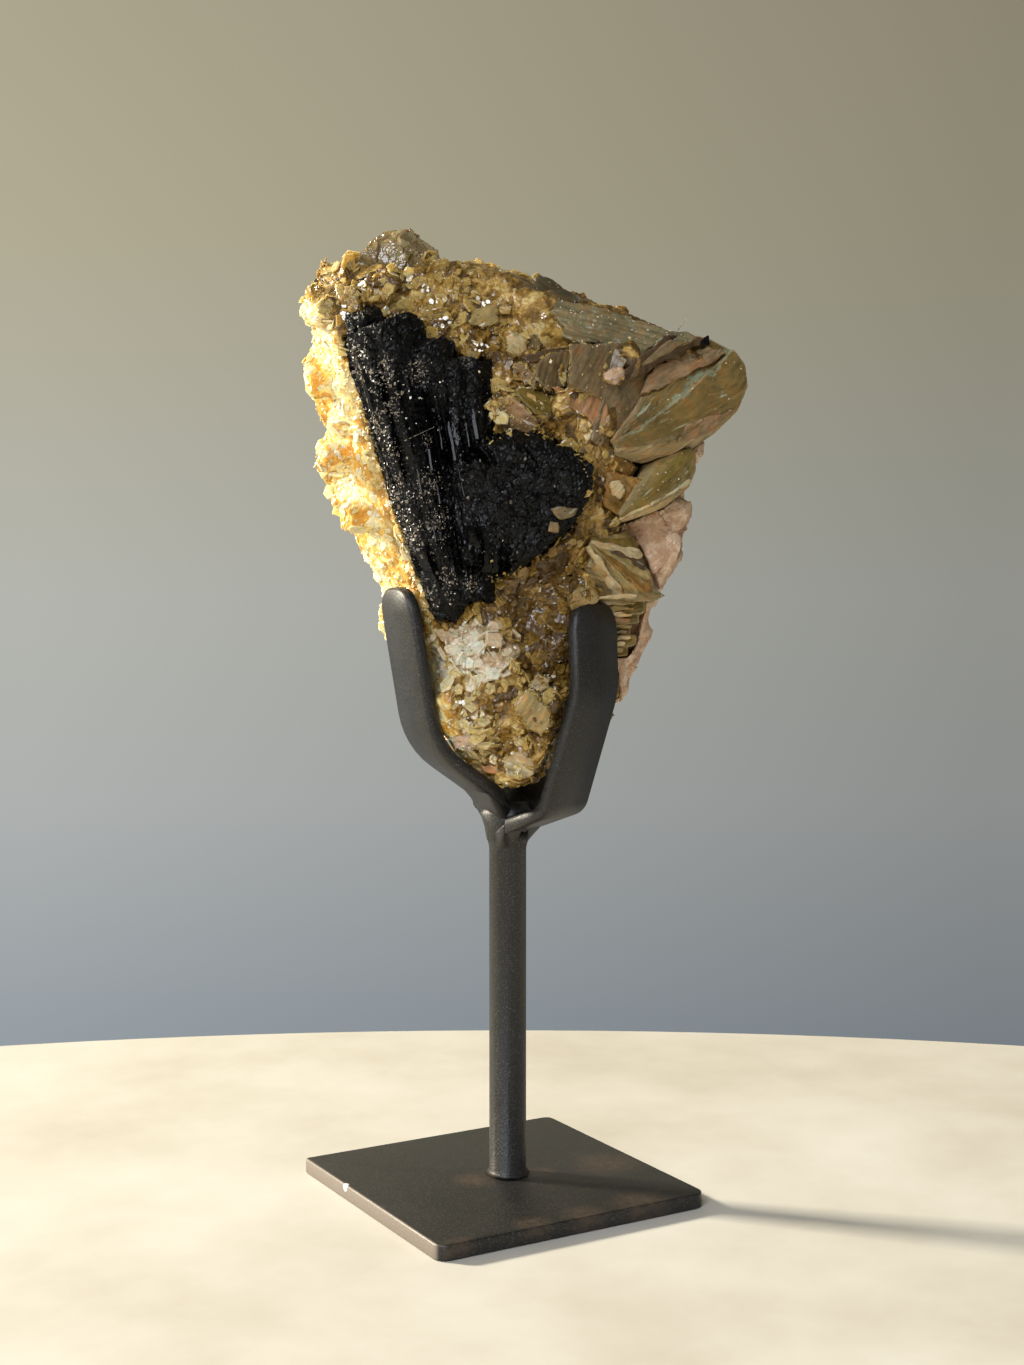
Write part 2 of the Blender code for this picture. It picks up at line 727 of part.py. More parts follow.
def make_book(name, root, turns, depths, parent):
    """A fan of mica sheets: a skin over a section at each turn of the fan, from root to rim."""
    (root_front, root_back), (rim_front, rim_back) = depths
    rings = []
    for angle, length, back_step in turns:
        near = []
        far = []
        for share in (0.0, 0.3, 0.65, 1.0):
            turn = math.radians(angle + SHEET_BEND * (share - 0.5))
            reach = ROOT_RADIUS + (length - ROOT_RADIUS) * share
            x = root[0] + reach * math.cos(turn)
            z = root[1] + reach * math.sin(turn)
            bulge = RIM_ROUND * share**4
            front = root_front + (rim_front - root_front) * share
            near.append((x, front + back_step + bulge, z))
            far.append((x, root_back + (rim_back - root_back) * share - bulge, z))
        rings.append(near + far[::-1])
    bm = bmesh.new()
    loft(bm, rings)
    return make_object(name, bm, "olive-brown mica", parent)


def make_stack(parent):
    """Mica plates seen edge on, one on another, in one skin from plate to plate."""
    rings = []
    for height, thick, left, right, front in STACK_PLATES:
        for level in (height + 0.05, height + thick - 0.05):
            tilt = STACK_TILT * (right - left)
            rings.append(
                [
                    (left, STACK_BACK, level),
                    (left, front, level),
                    ((left + right) / 2, front - 0.8, level + tilt / 2),
                    (right, front + 1.5, level + tilt),
                    (right, STACK_BACK, level + tilt),
                ]
            )
    bm = bmesh.new()
    loft(bm, rings)
    return make_object("mica_stack", bm, "olive-brown mica", parent)


clear_scene()
part = make_collection("black_tourmaline_with_mica")
cutters = make_collection("cutters")
turn = bpy.data.objects.new("specimen_turn", None)
part.objects.link(turn)
turn.location = (POST_OFFSET[0] * MM, POST_OFFSET[1] * MM, 0)
turn.rotation_euler.z = math.radians(SPECIMEN_TURN)
bpy.context.view_layer.update()

make_plate()
seats = {}
for prong_name, (angle, corners, radii) in PRONGS.items():
    prong = make_prong(prong_name, angle, corners, radii, turn)
    seats[prong_name] = make_cutter(prong)
holders = list(PRONGS)
post = make_post(turn)
carve(post, holders)
shade_round(post)

# The stone's minerals, each cut to the ones before it, so that each lies in its own bed.
crystals, crystal_beds = make_tourmaline(turn)
carve(crystals, holders)
seats.update(crystal_beds)
earlier = list(crystal_beds)

for quartz_name, (centre, half_sizes, seed) in QUARTZ.items():
    lump = make_lump(quartz_name, centre, half_sizes, seed, "grey quartz", turn)
    seats[quartz_name] = make_bed(lump)
    carve(lump, holders + list(crystal_beds))
    earlier.append(quartz_name)

for book_name, (root, turns, depths) in BOOKS.items():
    book = make_book(book_name, root, turns, depths, turn)
    own_beds = {book_name: make_bed(book)}
    if book_name == "mica_book_lower":
        stack = make_stack(turn)
        own_beds["mica_stack"] = make_bed(stack)
        fuse(book, [stack], ROUGH_SOLVER)
    carve(book, holders + earlier, ROUGH_SOLVER)
    seats.update(own_beds)
    earlier += own_beds

lump = make_feldspar(turn)
carve(lump, holders + earlier, ROUGH_SOLVER)
close_up(lump)
seats["pink_feldspar"] = make_block(turn, GAP)
earlier.append("pink_feldspar")

mass = make_matrix(turn)
carve(mass, holders + earlier, ROUGH_SOLVER)
close_up(mass)
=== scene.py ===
import math
import random

import bmesh
import bpy
from mathutils import Matrix, Vector, noise
from mathutils.bvhtree import BVHTree


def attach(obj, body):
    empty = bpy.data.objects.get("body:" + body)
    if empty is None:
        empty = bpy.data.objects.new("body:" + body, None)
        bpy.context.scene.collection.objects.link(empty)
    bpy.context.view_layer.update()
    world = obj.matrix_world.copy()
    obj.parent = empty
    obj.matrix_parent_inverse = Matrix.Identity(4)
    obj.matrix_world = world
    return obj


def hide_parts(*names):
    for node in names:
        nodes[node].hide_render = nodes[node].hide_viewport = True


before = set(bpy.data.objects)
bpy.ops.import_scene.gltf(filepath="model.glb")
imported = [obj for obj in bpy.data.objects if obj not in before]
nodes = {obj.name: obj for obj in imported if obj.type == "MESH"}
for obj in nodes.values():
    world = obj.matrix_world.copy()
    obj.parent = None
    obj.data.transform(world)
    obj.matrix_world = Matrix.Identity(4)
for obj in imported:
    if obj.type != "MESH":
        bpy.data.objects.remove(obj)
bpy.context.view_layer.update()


# CAMERA AND ROOM
# The camera stands level with the stone's lower half, half a metre away, and looks
# a little down. The specimen is turned under it, so places on the stone are given
# as it sees them: right, away from it, and up, in millimetres from the post's foot.
MM = 0.001
TURN = Matrix.Rotation(math.radians(-30.1), 3, "Z")
POST_FOOT = Vector((1.9, -0.7, 0)) * MM


def seen(right, away, up):
    """A place on the specimen, in metres in the part's own frame."""
    return TURN @ (Vector((right, away, up)) * MM) + POST_FOOT


def as_seen(place):
    """The same the other way round: right, away and up in millimetres."""
    return TURN.transposed() @ (place - POST_FOOT) / MM


CAMERA_PLACE = (0, -470.9, 158.2)
CAMERA_LENS = 48.8
CAMERA_LOOK_DOWN = 3.26
CAMERA_LOOK_RIGHT = 0.135

lens = bpy.data.cameras.new("camera")
lens.lens = CAMERA_LENS
lens.sensor_width = 36
lens.clip_start = 0.01
camera = bpy.data.objects.new("camera", lens)
bpy.context.scene.collection.objects.link(camera)
camera.location = seen(*CAMERA_PLACE)
look_right = math.tan(math.radians(CAMERA_LOOK_RIGHT))
look_down = math.tan(math.radians(CAMERA_LOOK_DOWN))
camera.rotation_euler = (TURN @ Vector((look_right, 1, -look_down))).to_track_quat("-Z", "Y").to_euler()
bpy.context.scene.camera = camera
bpy.context.scene.view_settings.view_transform = "Standard"


def srgb(text):
    """A colour given as sRGB hex, as the linear values a shader takes."""
    parts = [int(text[place : place + 2], 16) / 255 for place in (0, 2, 4)]
    return (*[part / 12.92 if part <= 0.04045 else ((part + 0.055) / 1.055) ** 2.4 for part in parts], 1.0)


def feed(tree, node, sockets):
    """Give each named socket of a node its value, or a link where it is given an output."""
    for key, value in sockets.items():
        if isinstance(value, bpy.types.NodeSocket):
            tree.links.new(value, node.inputs[key])
        else:
            node.inputs[key].default_value = value


def add(tree, kind, sockets=None, stops=None, **settings):
    """Add one node with its settings and sockets, and a ramp's colours. Gives back its outputs."""
    node = tree.nodes.new("ShaderNode" + kind)
    for key, value in settings.items():
        setattr(node, key, value)
    feed(tree, node, sockets or {})
    if stops:
        bands = node.color_ramp.elements
        bands[0].position = stops[0][0]
        bands[0].color = srgb(stops[0][1])
        bands[1].position = stops[-1][0]
        bands[1].color = srgb(stops[-1][1])
        for place, colour in stops[1:-1]:
            bands.new(place).color = srgb(colour)
    return node.outputs


def start_material(name, values):
    """A new material with a plain shader, and constants set on the shader's own sockets."""
    material = bpy.data.materials.new(name)
    material.use_nodes = True
    tree = material.node_tree
    shader = tree.nodes["Principled BSDF"]
    feed(tree, shader, values)
    return material, tree, shader


def hang(name, bm, material):
    """Make a finished mesh, drawn in its place, an object of one material."""
    mesh = bpy.data.meshes.new(name)
    bm.to_mesh(mesh)
    bm.free()
    mesh.materials.append(material)
    piece = bpy.data.objects.new(name, mesh)
    bpy.context.scene.collection.objects.link(piece)
    return piece


# Three lamps look at the stone's middle: a small warm one, far away at the left and a little
# behind, the size of a window in front of it, and a weak soft one at the right.
LIT_PLACE = (0, 0, 150)
SUN_PLACE = (-2100, 640, 1080)
WINDOW_PLACE = (-420, -1150, 800)
SOFT_PLACE = (950, -450, 450)


def area_light(name, place, size, watts, colour):
    """A square lamp that looks at the stone, with its side in metres."""
    lamp = bpy.data.lights.new(name, "AREA")
    lamp.shape = "SQUARE"
    lamp.size = size
    lamp.energy = watts
    lamp.color = srgb(colour)[:3]
    holder = bpy.data.objects.new(name, lamp)
    bpy.context.scene.collection.objects.link(holder)
    holder.location = seen(*place)
    holder.rotation_euler = (seen(*LIT_PLACE) - holder.location).to_track_quat("-Z", "Y").to_euler()


area_light("low_warm_key", SUN_PLACE, 0.26, 132.0, "FFF5DE")
area_light("soft_window", WINDOW_PLACE, 0.7, 16.0, "ECF1FB")
area_light("soft_right", SOFT_PLACE, 0.8, 0.8, "EEF0F4")

# The room: a plain grey wall all round, warmer towards the top.
WALL_COLOURS = [(0.0, "858D93"), (0.23, "9EA09F"), (0.42, "A3A49D"), (0.75, "A19B85"), (1.0, "9B947F")]
room = bpy.data.worlds.new("plain grey room")
room.use_nodes = True
tree = room.node_tree
toward = add(tree, "TexCoord")["Generated"]
up = add(tree, "SeparateXYZ", {"Vector": toward})["Z"]
height = add(tree, "MapRange", {"Value": up, "From Min": -0.25, "From Max": 0.32})["Result"]
wall = add(tree, "ValToRGB", {"Fac": height}, WALL_COLOURS)["Color"]
# The wall falls off gently from left to right.
to_right = TURN @ Vector((1, 0, 0))
aside = add(tree, "VectorMath", {0: toward, 1: to_right}, operation="DOT_PRODUCT")["Value"]
falls_off = add(
    tree, "MapRange", {"Value": aside, "From Min": -0.25, "From Max": 0.25, "To Min": 1.25, "To Max": 0.77}
)["Result"]
# The room behind the camera and to its right is unlit.
to_unlit = TURN @ Vector((0.5, -0.87, 0))
behind = add(tree, "VectorMath", {0: toward, 1: to_unlit}, operation="DOT_PRODUCT")["Value"]
unlit = add(
    tree, "MapRange", {"Value": behind, "From Min": -0.35, "From Max": 0.45, "To Min": 1.0, "To Max": 0.22}
)["Result"]
strength = add(tree, "Math", {0: falls_off, 1: unlit}, operation="MULTIPLY")["Value"]
feed(tree, tree.nodes["Background"], {"Color": wall, "Strength": strength})
bpy.context.scene.world = room


def draw_out(bm, faces):
    """Extrude faces, and give back the points that are to be moved."""
    grown = bmesh.ops.extrude_face_region(bm, geom=faces)
    return [item for item in grown["geom"] if isinstance(item, bmesh.types.BMVert)]


# A plain pale table top. Its far edge passes close behind the specimen.
TOP_RADIUS = 700
TOP_FAR_EDGE = 168
TOP_THICK = 25
bm = bmesh.new()
bmesh.ops.create_circle(
    bm,
    cap_ends=True,
    segments=220,
    radius=TOP_RADIUS * MM,
    matrix=Matrix.Translation(seen(0, TOP_FAR_EDGE - TOP_RADIUS, -TOP_THICK)),
)
bmesh.ops.translate(bm, verts=draw_out(bm, bm.faces[:]), vec=(0, 0, TOP_THICK * MM))
bmesh.ops.recalc_face_normals(bm, faces=bm.faces)

# Limed plaster: warm, pale and matt, with faint clouds a hand wide.
plaster, tree, shader = start_material("pale limed plaster", {"Roughness": 0.75})
place = add(tree, "TexCoord")["Object"]
cloud = add(tree, "TexNoise", {"Vector": place, "Scale": 0.014 / MM, "Detail": 5, "Roughness": 0.6})["Fac"]
pale = add(tree, "ValToRGB", {"Fac": cloud}, [(0.3, "BEB8AC"), (0.5, "CAC6BC"), (0.7, "D3D0C9")])["Color"]
feed(tree, shader, {"Base Color": pale})
floor = hang("floor", bm, plaster)


# THE STAND
# A square foot, a round post and three bent flat bars of mild steel, welded and then
# powder coated satin black. The coat is finely orange-peeled, and stained brown where it wears
# thin; its left-looking foot side is painted pale, as painted sunlight.
def solid_of(node):
    """A merged copy of a solid of the frame, ready to be worked on."""
    bm = bmesh.new()
    bm.from_mesh(nodes[node].data)
    bmesh.ops.remove_doubles(bm, verts=bm.verts, dist=0.01 * MM)
    return bm


def run_together(piece, cell, easing=0):
    """Rebuild a piece as one even skin of small cells, and settle its modifiers into its mesh."""
    material = piece.data.materials[0]
    cells = piece.modifiers.new("Cells", "REMESH")
    cells.mode = "VOXEL"
    cells.voxel_size = cell * MM
    if easing:
        ease = piece.modifiers.new("Ease", "SMOOTH")
        ease.factor = 0.6
        ease.iterations = easing
    bpy.context.view_layer.update()
    graph = bpy.context.evaluated_depsgraph_get()
    mesh = bpy.data.meshes.new_from_object(piece.evaluated_get(graph))
    piece.modifiers.clear()
    piece.data = mesh
    mesh.materials.clear()
    mesh.materials.append(material)


# Satin powder coat, sprayed and baked: nearly black, with an orange-peel skin of about 0.6 mm,
# clouds of gloss 17 mm wide, and a sparkle painted into its colour as pale flecks: painted
# highlights. The sparkle is drawn coarser than it is, at 0.3 mm, so that it shows.
steel_coat, tree, shader = start_material("satin black powder coat", {"IOR": 1.5, "Specular IOR Level": 0.5})
place = add(tree, "TexCoord")["Object"]
peel = add(tree, "TexNoise", {"Vector": place, "Scale": 1.7 / MM, "Detail": 3, "Roughness": 0.7})["Fac"]
cloud = add(tree, "TexNoise", {"Vector": place, "Scale": 0.06 / MM, "Detail": 7, "Roughness": 0.65})["Fac"]
specks = add(tree, "TexNoise", {"Vector": place, "Scale": 0.52 / MM, "Detail": 6, "Roughness": 0.7})["Fac"]
painted_sparkle = add(tree, "TexNoise", {"Vector": place, "Scale": 3.3 / MM, "Detail": 1, "Roughness": 0.5})["Fac"]
rough = add(
    tree, "MapRange", {"Value": cloud, "From Min": 0.3, "From Max": 0.7, "To Min": 0.38, "To Max": 0.52}
)["Result"]
bump = add(tree, "Bump", {"Height": peel, "Strength": 0.55, "Distance": 0.2 * MM})["Normal"]
black = add(tree, "ValToRGB", {"Fac": cloud}, [(0.35, "151514"), (0.6, "1D1C1B"), (0.75, "2E2A24")])["Color"]
# Painted highlights: pale flecks mixed into the black stand for the coat's sparkle.
bright = add(tree, "MapRange", {"Value": painted_sparkle, "From Min": 0.6, "From Max": 0.72, "To Max": 0.4})["Result"]
flecked = add(tree, "Mix", {"Factor": bright, "A": black, "B": srgb("7C7870")}, data_type="RGBA")["Result"]

# Brown stains round the post's foot, near the rim and at the front corner: right, away and reach.
STAINS = [
    (-8.7, -4.5, 7), (8.6, 1.3, 5), (26.6, 8.8, 11), (32.9, -21.7, 9),
    (18.9, -30.4, 7), (6, -37, 6), (-10.5, -51, 6),
]
STAINED_HEIGHT = 4
stained = None
for right, away, reach in STAINS:
    middle = seen(right, away, STAINED_HEIGHT)
    distance = add(tree, "VectorMath", {0: place, 1: middle}, operation="DISTANCE")["Value"]
    fade = {"Value": distance, "From Min": reach * MM, "From Max": 0.3 * reach * MM}
    near = add(tree, "MapRange", fade)["Result"]
    stained = add(tree, "Math", {0: stained, 1: near}, operation="MAXIMUM")["Value"] if stained else near
speckled = add(
    tree, "MapRange", {"Value": specks, "From Min": 0.4, "From Max": 0.62, "To Min": 0.25, "To Max": 1.0}
)["Result"]
rust = add(tree, "Math", {0: stained, 1: speckled}, operation="MULTIPLY")["Value"]
rusty = add(tree, "Mix", {"Factor": rust, "A": flecked, "B": srgb("493B30")}, data_type="RGBA")["Result"]

# The foot's side that looks left is painted pale: painted sunlight. It lies square to the part's own x axis.
SUNLIT_SIDE_FROM = -37.4 * MM
SUNLIT_SIDE_FULL = -37.9 * MM
side = add(tree, "SeparateXYZ", {"Vector": place})["X"]
fade = {"Value": side, "From Min": SUNLIT_SIDE_FROM, "From Max": SUNLIT_SIDE_FULL, "To Max": 0.85}
painted_sunlit_side = add(tree, "MapRange", fade)["Result"]
coat = add(tree, "Mix", {"Factor": painted_sunlit_side, "A": rusty, "B": srgb("82776D")}, data_type="RGBA")["Result"]

# On that side is one bright spot, a painted glint.
GLINT_SPOT_PLACE = Vector((-38.1, 12.8, 3.4)) * MM
glint_spot_distance = add(tree, "VectorMath", {0: place, 1: GLINT_SPOT_PLACE}, operation="DISTANCE")["Value"]
painted_glint = add(tree, "MapRange", {"Value": glint_spot_distance, "From Min": 1.3 * MM, "From Max": 0.9 * MM})["Result"]
coat_with_painted_glint = add(tree, "Mix", {"Factor": painted_glint, "A": coat, "B": srgb("E8E6E0")}, data_type="RGBA")["Result"]
feed(tree, shader, {"Base Color": coat_with_painted_glint, "Roughness": rough, "Normal": bump})

# The bars' bends stay smooth, and their edges sharp.
for node in ("base_plate", "post", "left_prong", "right_prong", "back_prong"):
    bar = hang(node + "_coated", solid_of(node), steel_coat)
    bar.data.shade_smooth()
    bar.data.set_sharp_from_angle(angle=math.radians(38))
    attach(bar, "root")
    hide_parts(node)

# Where the prongs meet, the steel was welded, ground and coated over, so that the post runs
# out under each bar in one smooth web. Of each bar this gives the way it goes (right, away),
# the height of its underside at the post's axis, its rise per millimetre out, and how far out
# the web runs under it.
BAR_UNDERSIDES = {
    "left": ((-0.904, -0.427), 97.5, 0.709, 9.3),
    "right": ((0.822, -0.570), 92.2, 0.372, 5.2),
    "back": ((-0.083, 0.997), 95.0, 0.648, 8.0),
}
WEB_STEPS = 22
# The post swells a little on its way into the web, from this height up.
SWELL_FROM = 86
bm = bmesh.new()
for (right_way, away_way), height, rise, web_reach in BAR_UNDERSIDES.values():
    for step in range(WEB_STEPS):
        # The web widens and thins on its way out, and ends inside the bar.
        share = step / (WEB_STEPS - 1)
        out = 0.5 + (web_reach - 0.5) * share
        radius = 3.0 - 1.9 * share
        spread = 1.6 + 7.0 * share
        for place in range(-6, 7):
            side = place / 6
            right = right_way * out - away_way * side * spread
            away = away_way * out + right_way * side * spread
            low = height + rise * out - 2.2 + 3.8 * share ** 0.8
            spot = Matrix.Translation(seen(right, away, low))
            bmesh.ops.create_icosphere(bm, subdivisions=2, radius=radius * MM, matrix=spot)
for step in range(9):
    spot = Matrix.Translation(seen(0, 0, SWELL_FROM + step))
    bmesh.ops.create_icosphere(bm, subdivisions=3, radius=(4.3 + 0.17 * step) * MM, matrix=spot)
web = hang("prong_weld", bm, steel_coat)
run_together(web, 0.45, 34)
web.data.shade_smooth()
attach(web, "root")


# THE MICA MASS
# The stone's body: a crust of small golden muscovite crystals grown every way. Each is a
# tablet one to four millimetres wide, glassy on its flat faces, brown where it is thick.
def refine(name, node, cell, material):
    """A fine, even skin over a solid of the frame, which it stands for."""
    piece = hang(name, solid_of(node), material)
    run_together(piece, cell)
    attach(piece, "root")
    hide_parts(node)
    return piece


def facet(point, size, shift):
    """A crystal face at a point in millimetres: how far it stands out, and its own tone."""
    spot = point / size + Vector((shift, shift, shift))
    # Each crystal's tilt and tone come from the seed that it grew from.
    seed = noise.voronoi(spot)[1][0]
    tilt = noise.cell_vector(seed * 9.7) * 2 - Vector((1, 1, 1))
    tone = noise.cell(seed * 5.3 + Vector((7, 7, 7)))
    return 0.45 * tilt.z + 0.9 * (spot - seed).dot(tilt), tone


def between(value, low, high):
    """How far a value has gone from low to high, from 0 to 1."""
    return max(0.0, min(1.0, (value - low) / (high - low)))


# The edge between the left flank and the front, as (up, right).
FLANK_EDGE = [
    (100, -3), (125, -12), (140, -15.5), (158, -22), (170, -27), (184, -30.5), (205, -37),
    (215, -39.5), (224, -45), (250, -60),
]


def flank(spot):
    """How much a place belongs to the left flank, where the mica lets light through and its paler, amber
    colours are painted sunlight.
    """
    for (low, right_low), (high, right_high) in zip(FLANK_EDGE, FLANK_EDGE[1:]):
        if spot.z < high:
            break
    edge = right_low + (right_high - right_low) * between(spot.z, low, high)
    edge += 1.6 * noise.noise(spot * 0.22)
    return between(edge - spot.x, -1.0, 4.0)


# Where the crust is paler or darker than elsewhere: right, up, reach, and by how much.
TONE_ZONES = [
    (-7, 139, 15, 0.16), (10, 149, 17, -0.27), (16, 137, 10, -0.2), (-8, 122, 8, 0.08),
    (2, 110, 9, 0.10), (13, 166, 7, -0.06), (20, 204, 13, 0.05), (-3, 202, 8, 0.07),
    (-34, 234, 9, -0.05), (-8, 224, 12, 0.01), (14, 228, 10, -0.10),
]


def paler(spot):
    """How much paler than its like the stone is at a place, from clouds and from the zones in front."""
    share = 0.16 * noise.noise(spot * 0.085) + 0.12 * noise.noise(spot * 0.24 + Vector((9, 9, 9)))
    if spot.y < 4:
        for right, up, reach, amount in TONE_ZONES:
            share += amount * between(math.hypot(spot.x - right, spot.z - up), reach, reach * 0.4)
    return share


def granular(spot):
    """How granular the crust is: it dies out towards the large smooth plates at the upper right."""
    inside = (spot.x - 6) / 10 + (spot.z - 204) / 14
    return 1.0 if spot.y > -2 else max(0.05, min(1.0, 1.6 - inside))


def keep_values(mesh, name, kind, field, values):
    """Keep a value on each point of a mesh, for a material to read."""
    layer = mesh.attributes.new(name, kind, "POINT")
    layer.data.foreach_set(field, values)


def keep_growth(mesh, growths):
    """Keep on a mesh each point's tone, its share of the flank, where sunlight is painted on, and its
    paleness.
    """
    keep_values(mesh, "growth", "FLOAT_VECTOR", "vector", [part for growth in growths for part in growth])


def crust(piece, layers, strength=None):
    """Break a skin into crystal faces. Each layer is (face size, height) in millimetres."""
    mesh = piece.data
    normals = [vert.normal.copy() for vert in mesh.vertices]
    growths = []
    for vert, normal in zip(mesh.vertices, normals):
        spot = as_seen(vert.co)
        share = strength(spot) if strength else 1.0
        height = 0.0
        tone = 0.0
        for index, (size, step) in enumerate(layers):
            stands, own = facet(spot, size, index + 3)
            height += step * stands
            tone += own / len(layers)
        vert.co += normal * height * share * MM
        growths.append((tone, flank(spot), paler(spot)))
    mesh.update()
    keep_growth(mesh, growths)


def mica_look(name, stops, painted_sunlit_stops, rough_low, rough_high, values):
    """Flaky mica: each face has its own tone and gloss, with clouds of stain and painted sunlight on the
    flank.
    """
    material, tree, shader = start_material(name, {"IOR": 1.58, **values})
    place = add(tree, "TexCoord")["Object"]
    growth = add(tree, "Attribute", attribute_name="growth")["Vector"]
    own = add(tree, "SeparateXYZ", {"Vector": growth})
    # Clouds of stain, a centimetre wide.
    cloud = add(
        tree, "TexNoise", {"Vector": place, "Scale": 0.085 / MM, "Detail": 7, "Roughness": 0.68}
    )["Fac"]
    # Broken cleavage steps on the faces, about 0.7 mm apart.
    steps = add(tree, "TexVoronoi", {"Vector": place, "Scale": 1.4 / MM, "Randomness": 1.0}, feature="F1")
    grain = add(tree, "SeparateColor", {"Color": steps["Color"]})
    stained = add(tree, "Mix", {"Factor": 0.5, "A": own["X"], "B": cloud}, data_type="FLOAT")["Result"]
    flecked = add(tree, "Mix", {"Factor": 0.16, "A": stained, "B": grain["Red"]}, data_type="FLOAT")["Result"]
    tone = add(tree, "Math", {0: flecked, 1: own["Z"]}, operation="ADD")["Value"]
    front = add(tree, "ValToRGB", {"Fac": tone}, stops)["Color"]
    # The flank's colours are painted sunlight: a paler, amber copy of the front's.
    painted_sunlit_colour = add(tree, "ValToRGB", {"Fac": tone}, painted_sunlit_stops)["Color"]
    colour = add(tree, "Mix", {"Factor": own["Y"], "A": front, "B": painted_sunlit_colour}, data_type="RGBA")["Result"]
    gloss = {"Value": grain["Green"], "To Min": rough_low, "To Max": rough_high}
    rough = add(tree, "MapRange", gloss)["Result"]
    bump = add(tree, "Bump", {"Height": steps["Distance"], "Strength": 0.3, "Distance": 0.3 * MM})["Normal"]
    feed(tree, shader, {"Base Color": colour, "Roughness": rough, "Normal": bump})
    return material


def glow(share, colours, deep):
    """Light that goes into a mineral: its share, how far each colour goes, and how deep in mm."""
    return {"Subsurface Weight": share, "Subsurface Radius": colours, "Subsurface Scale": deep * MM}


# Muscovite as it grew: honey gold and glassy, lets light in, and has paler amber colours painted on its flank
# as painted sunlight.
golden_mica = mica_look(
    "golden muscovite mica",
    [(0.2, "553D15"), (0.36, "88672B"), (0.5, "B08C47"), (0.64, "CFB26E"), (0.82, "EADCB2")],
    [(0.2, "DBA344"), (0.33, "F0CD74"), (0.46, "F7E2A0"), (0.6, "FBF0C6"), (0.8, "FEF7E0")],
    0.14,
    0.45,
    glow(0.5, (1.0, 0.82, 0.44), 2.2),
)


def stands_out(spot):
    """The crust is roughest in front and behind, and finer on the flank and by the plates."""
    return granular(spot) * (1 - 0.5 * flank(spot))


mass = refine("mica_crust", "mica_matrix", 0.72, golden_mica)
crust(mass, [(7.5, 1.1), (3.6, 0.75), (1.7, 0.35)], stands_out)

# Every finished skin that a later piece may be set on.
skins = []


def keep_skin(piece):
    """Remember a finished skin, so that later pieces can be set on it."""
    bm = bmesh.new()
    bm.from_mesh(piece.data)
    skins.append(BVHTree.FromBMesh(bm))
    bm.free()


def on_stone(right, up):
    """Where the camera's line through a place beside the post first meets the stone.

    right and up are measured in the upright plane through the post.
    """
    start = seen(*CAMERA_PLACE)
    line = (seen(right, 0, up) - start).normalized()
    hits = [skin.ray_cast(start, line) for skin in skins]
    hits = [hit for hit in hits if hit[0] is not None]
    return min(hits, key=lambda hit: hit[3])[:2] if hits else None


keep_skin(mass)

# What the stone rests on is kept clear of crystals, by so many millimetres.
HOLDER_CLEARANCE = 1.6
holders = bmesh.new()
for node in ("left_prong", "right_prong", "back_prong", "post"):
    holders.from_mesh(nodes[node].data)
holder_tree = BVHTree.FromBMesh(holders)
holders.free()


def tablet_forms(count, seed):
    """Flat mica tablets a unit across and a unit thick, with uneven many-sided outlines."""
    draw = random.Random(seed)
    forms = []
    for index in range(count):
        bm = bmesh.new()
        bmesh.ops.create_circle(bm, cap_ends=True, segments=5 + index % 2, radius=1.0)
        for vert in bm.verts:
            vert.co *= draw.uniform(0.7, 1.15)
        top = draw_out(bm, bm.faces[:])
        bmesh.ops.scale(bm, vec=(0.88, 0.88, 1), verts=top)
        bmesh.ops.translate(bm, vec=(0, 0, 1), verts=top)
        bmesh.ops.recalc_face_normals(bm, faces=bm.faces)
        form = bpy.data.meshes.new("tablet form")
        bm.to_mesh(form)
        bm.free()
        forms.append(form)
    return forms


TABLETS = tablet_forms(9, 4)


def glint_normal(place):
    """The way a cleavage face looks when it throws the window's light at the camera."""
    to_camera = (seen(*CAMERA_PLACE) - place).normalized()
    to_window = (seen(*WINDOW_PLACE) - place).normalized()
    return (to_camera + to_window).normalized()


def set_tablet(bm, draw, place, facing, width, deep):
    """Set one tablet on a place, sunk by a third of its thickness. Gives back its number of points."""
    stands = facing.to_track_quat("Z", "Y").to_matrix().to_4x4()
    size = Matrix.Diagonal((width * MM, width * draw.uniform(0.6, 1.0) * MM, deep * MM, 1))
    spin = Matrix.Rotation(draw.uniform(0, math.tau), 4, "Z")
    sink = Matrix.Translation(place - facing * 0.35 * deep * MM)
    tablet = draw.choice(TABLETS).copy()
    tablet.transform(sink @ stands @ spin @ size)
    bm.from_mesh(tablet)
    count = len(tablet.vertices)
    bpy.data.meshes.remove(tablet)
    return count


def any_way(draw):
    """A way and a strength drawn at random."""
    return Vector((draw.gauss(0, 1), draw.gauss(0, 1), draw.gauss(0, 1)))


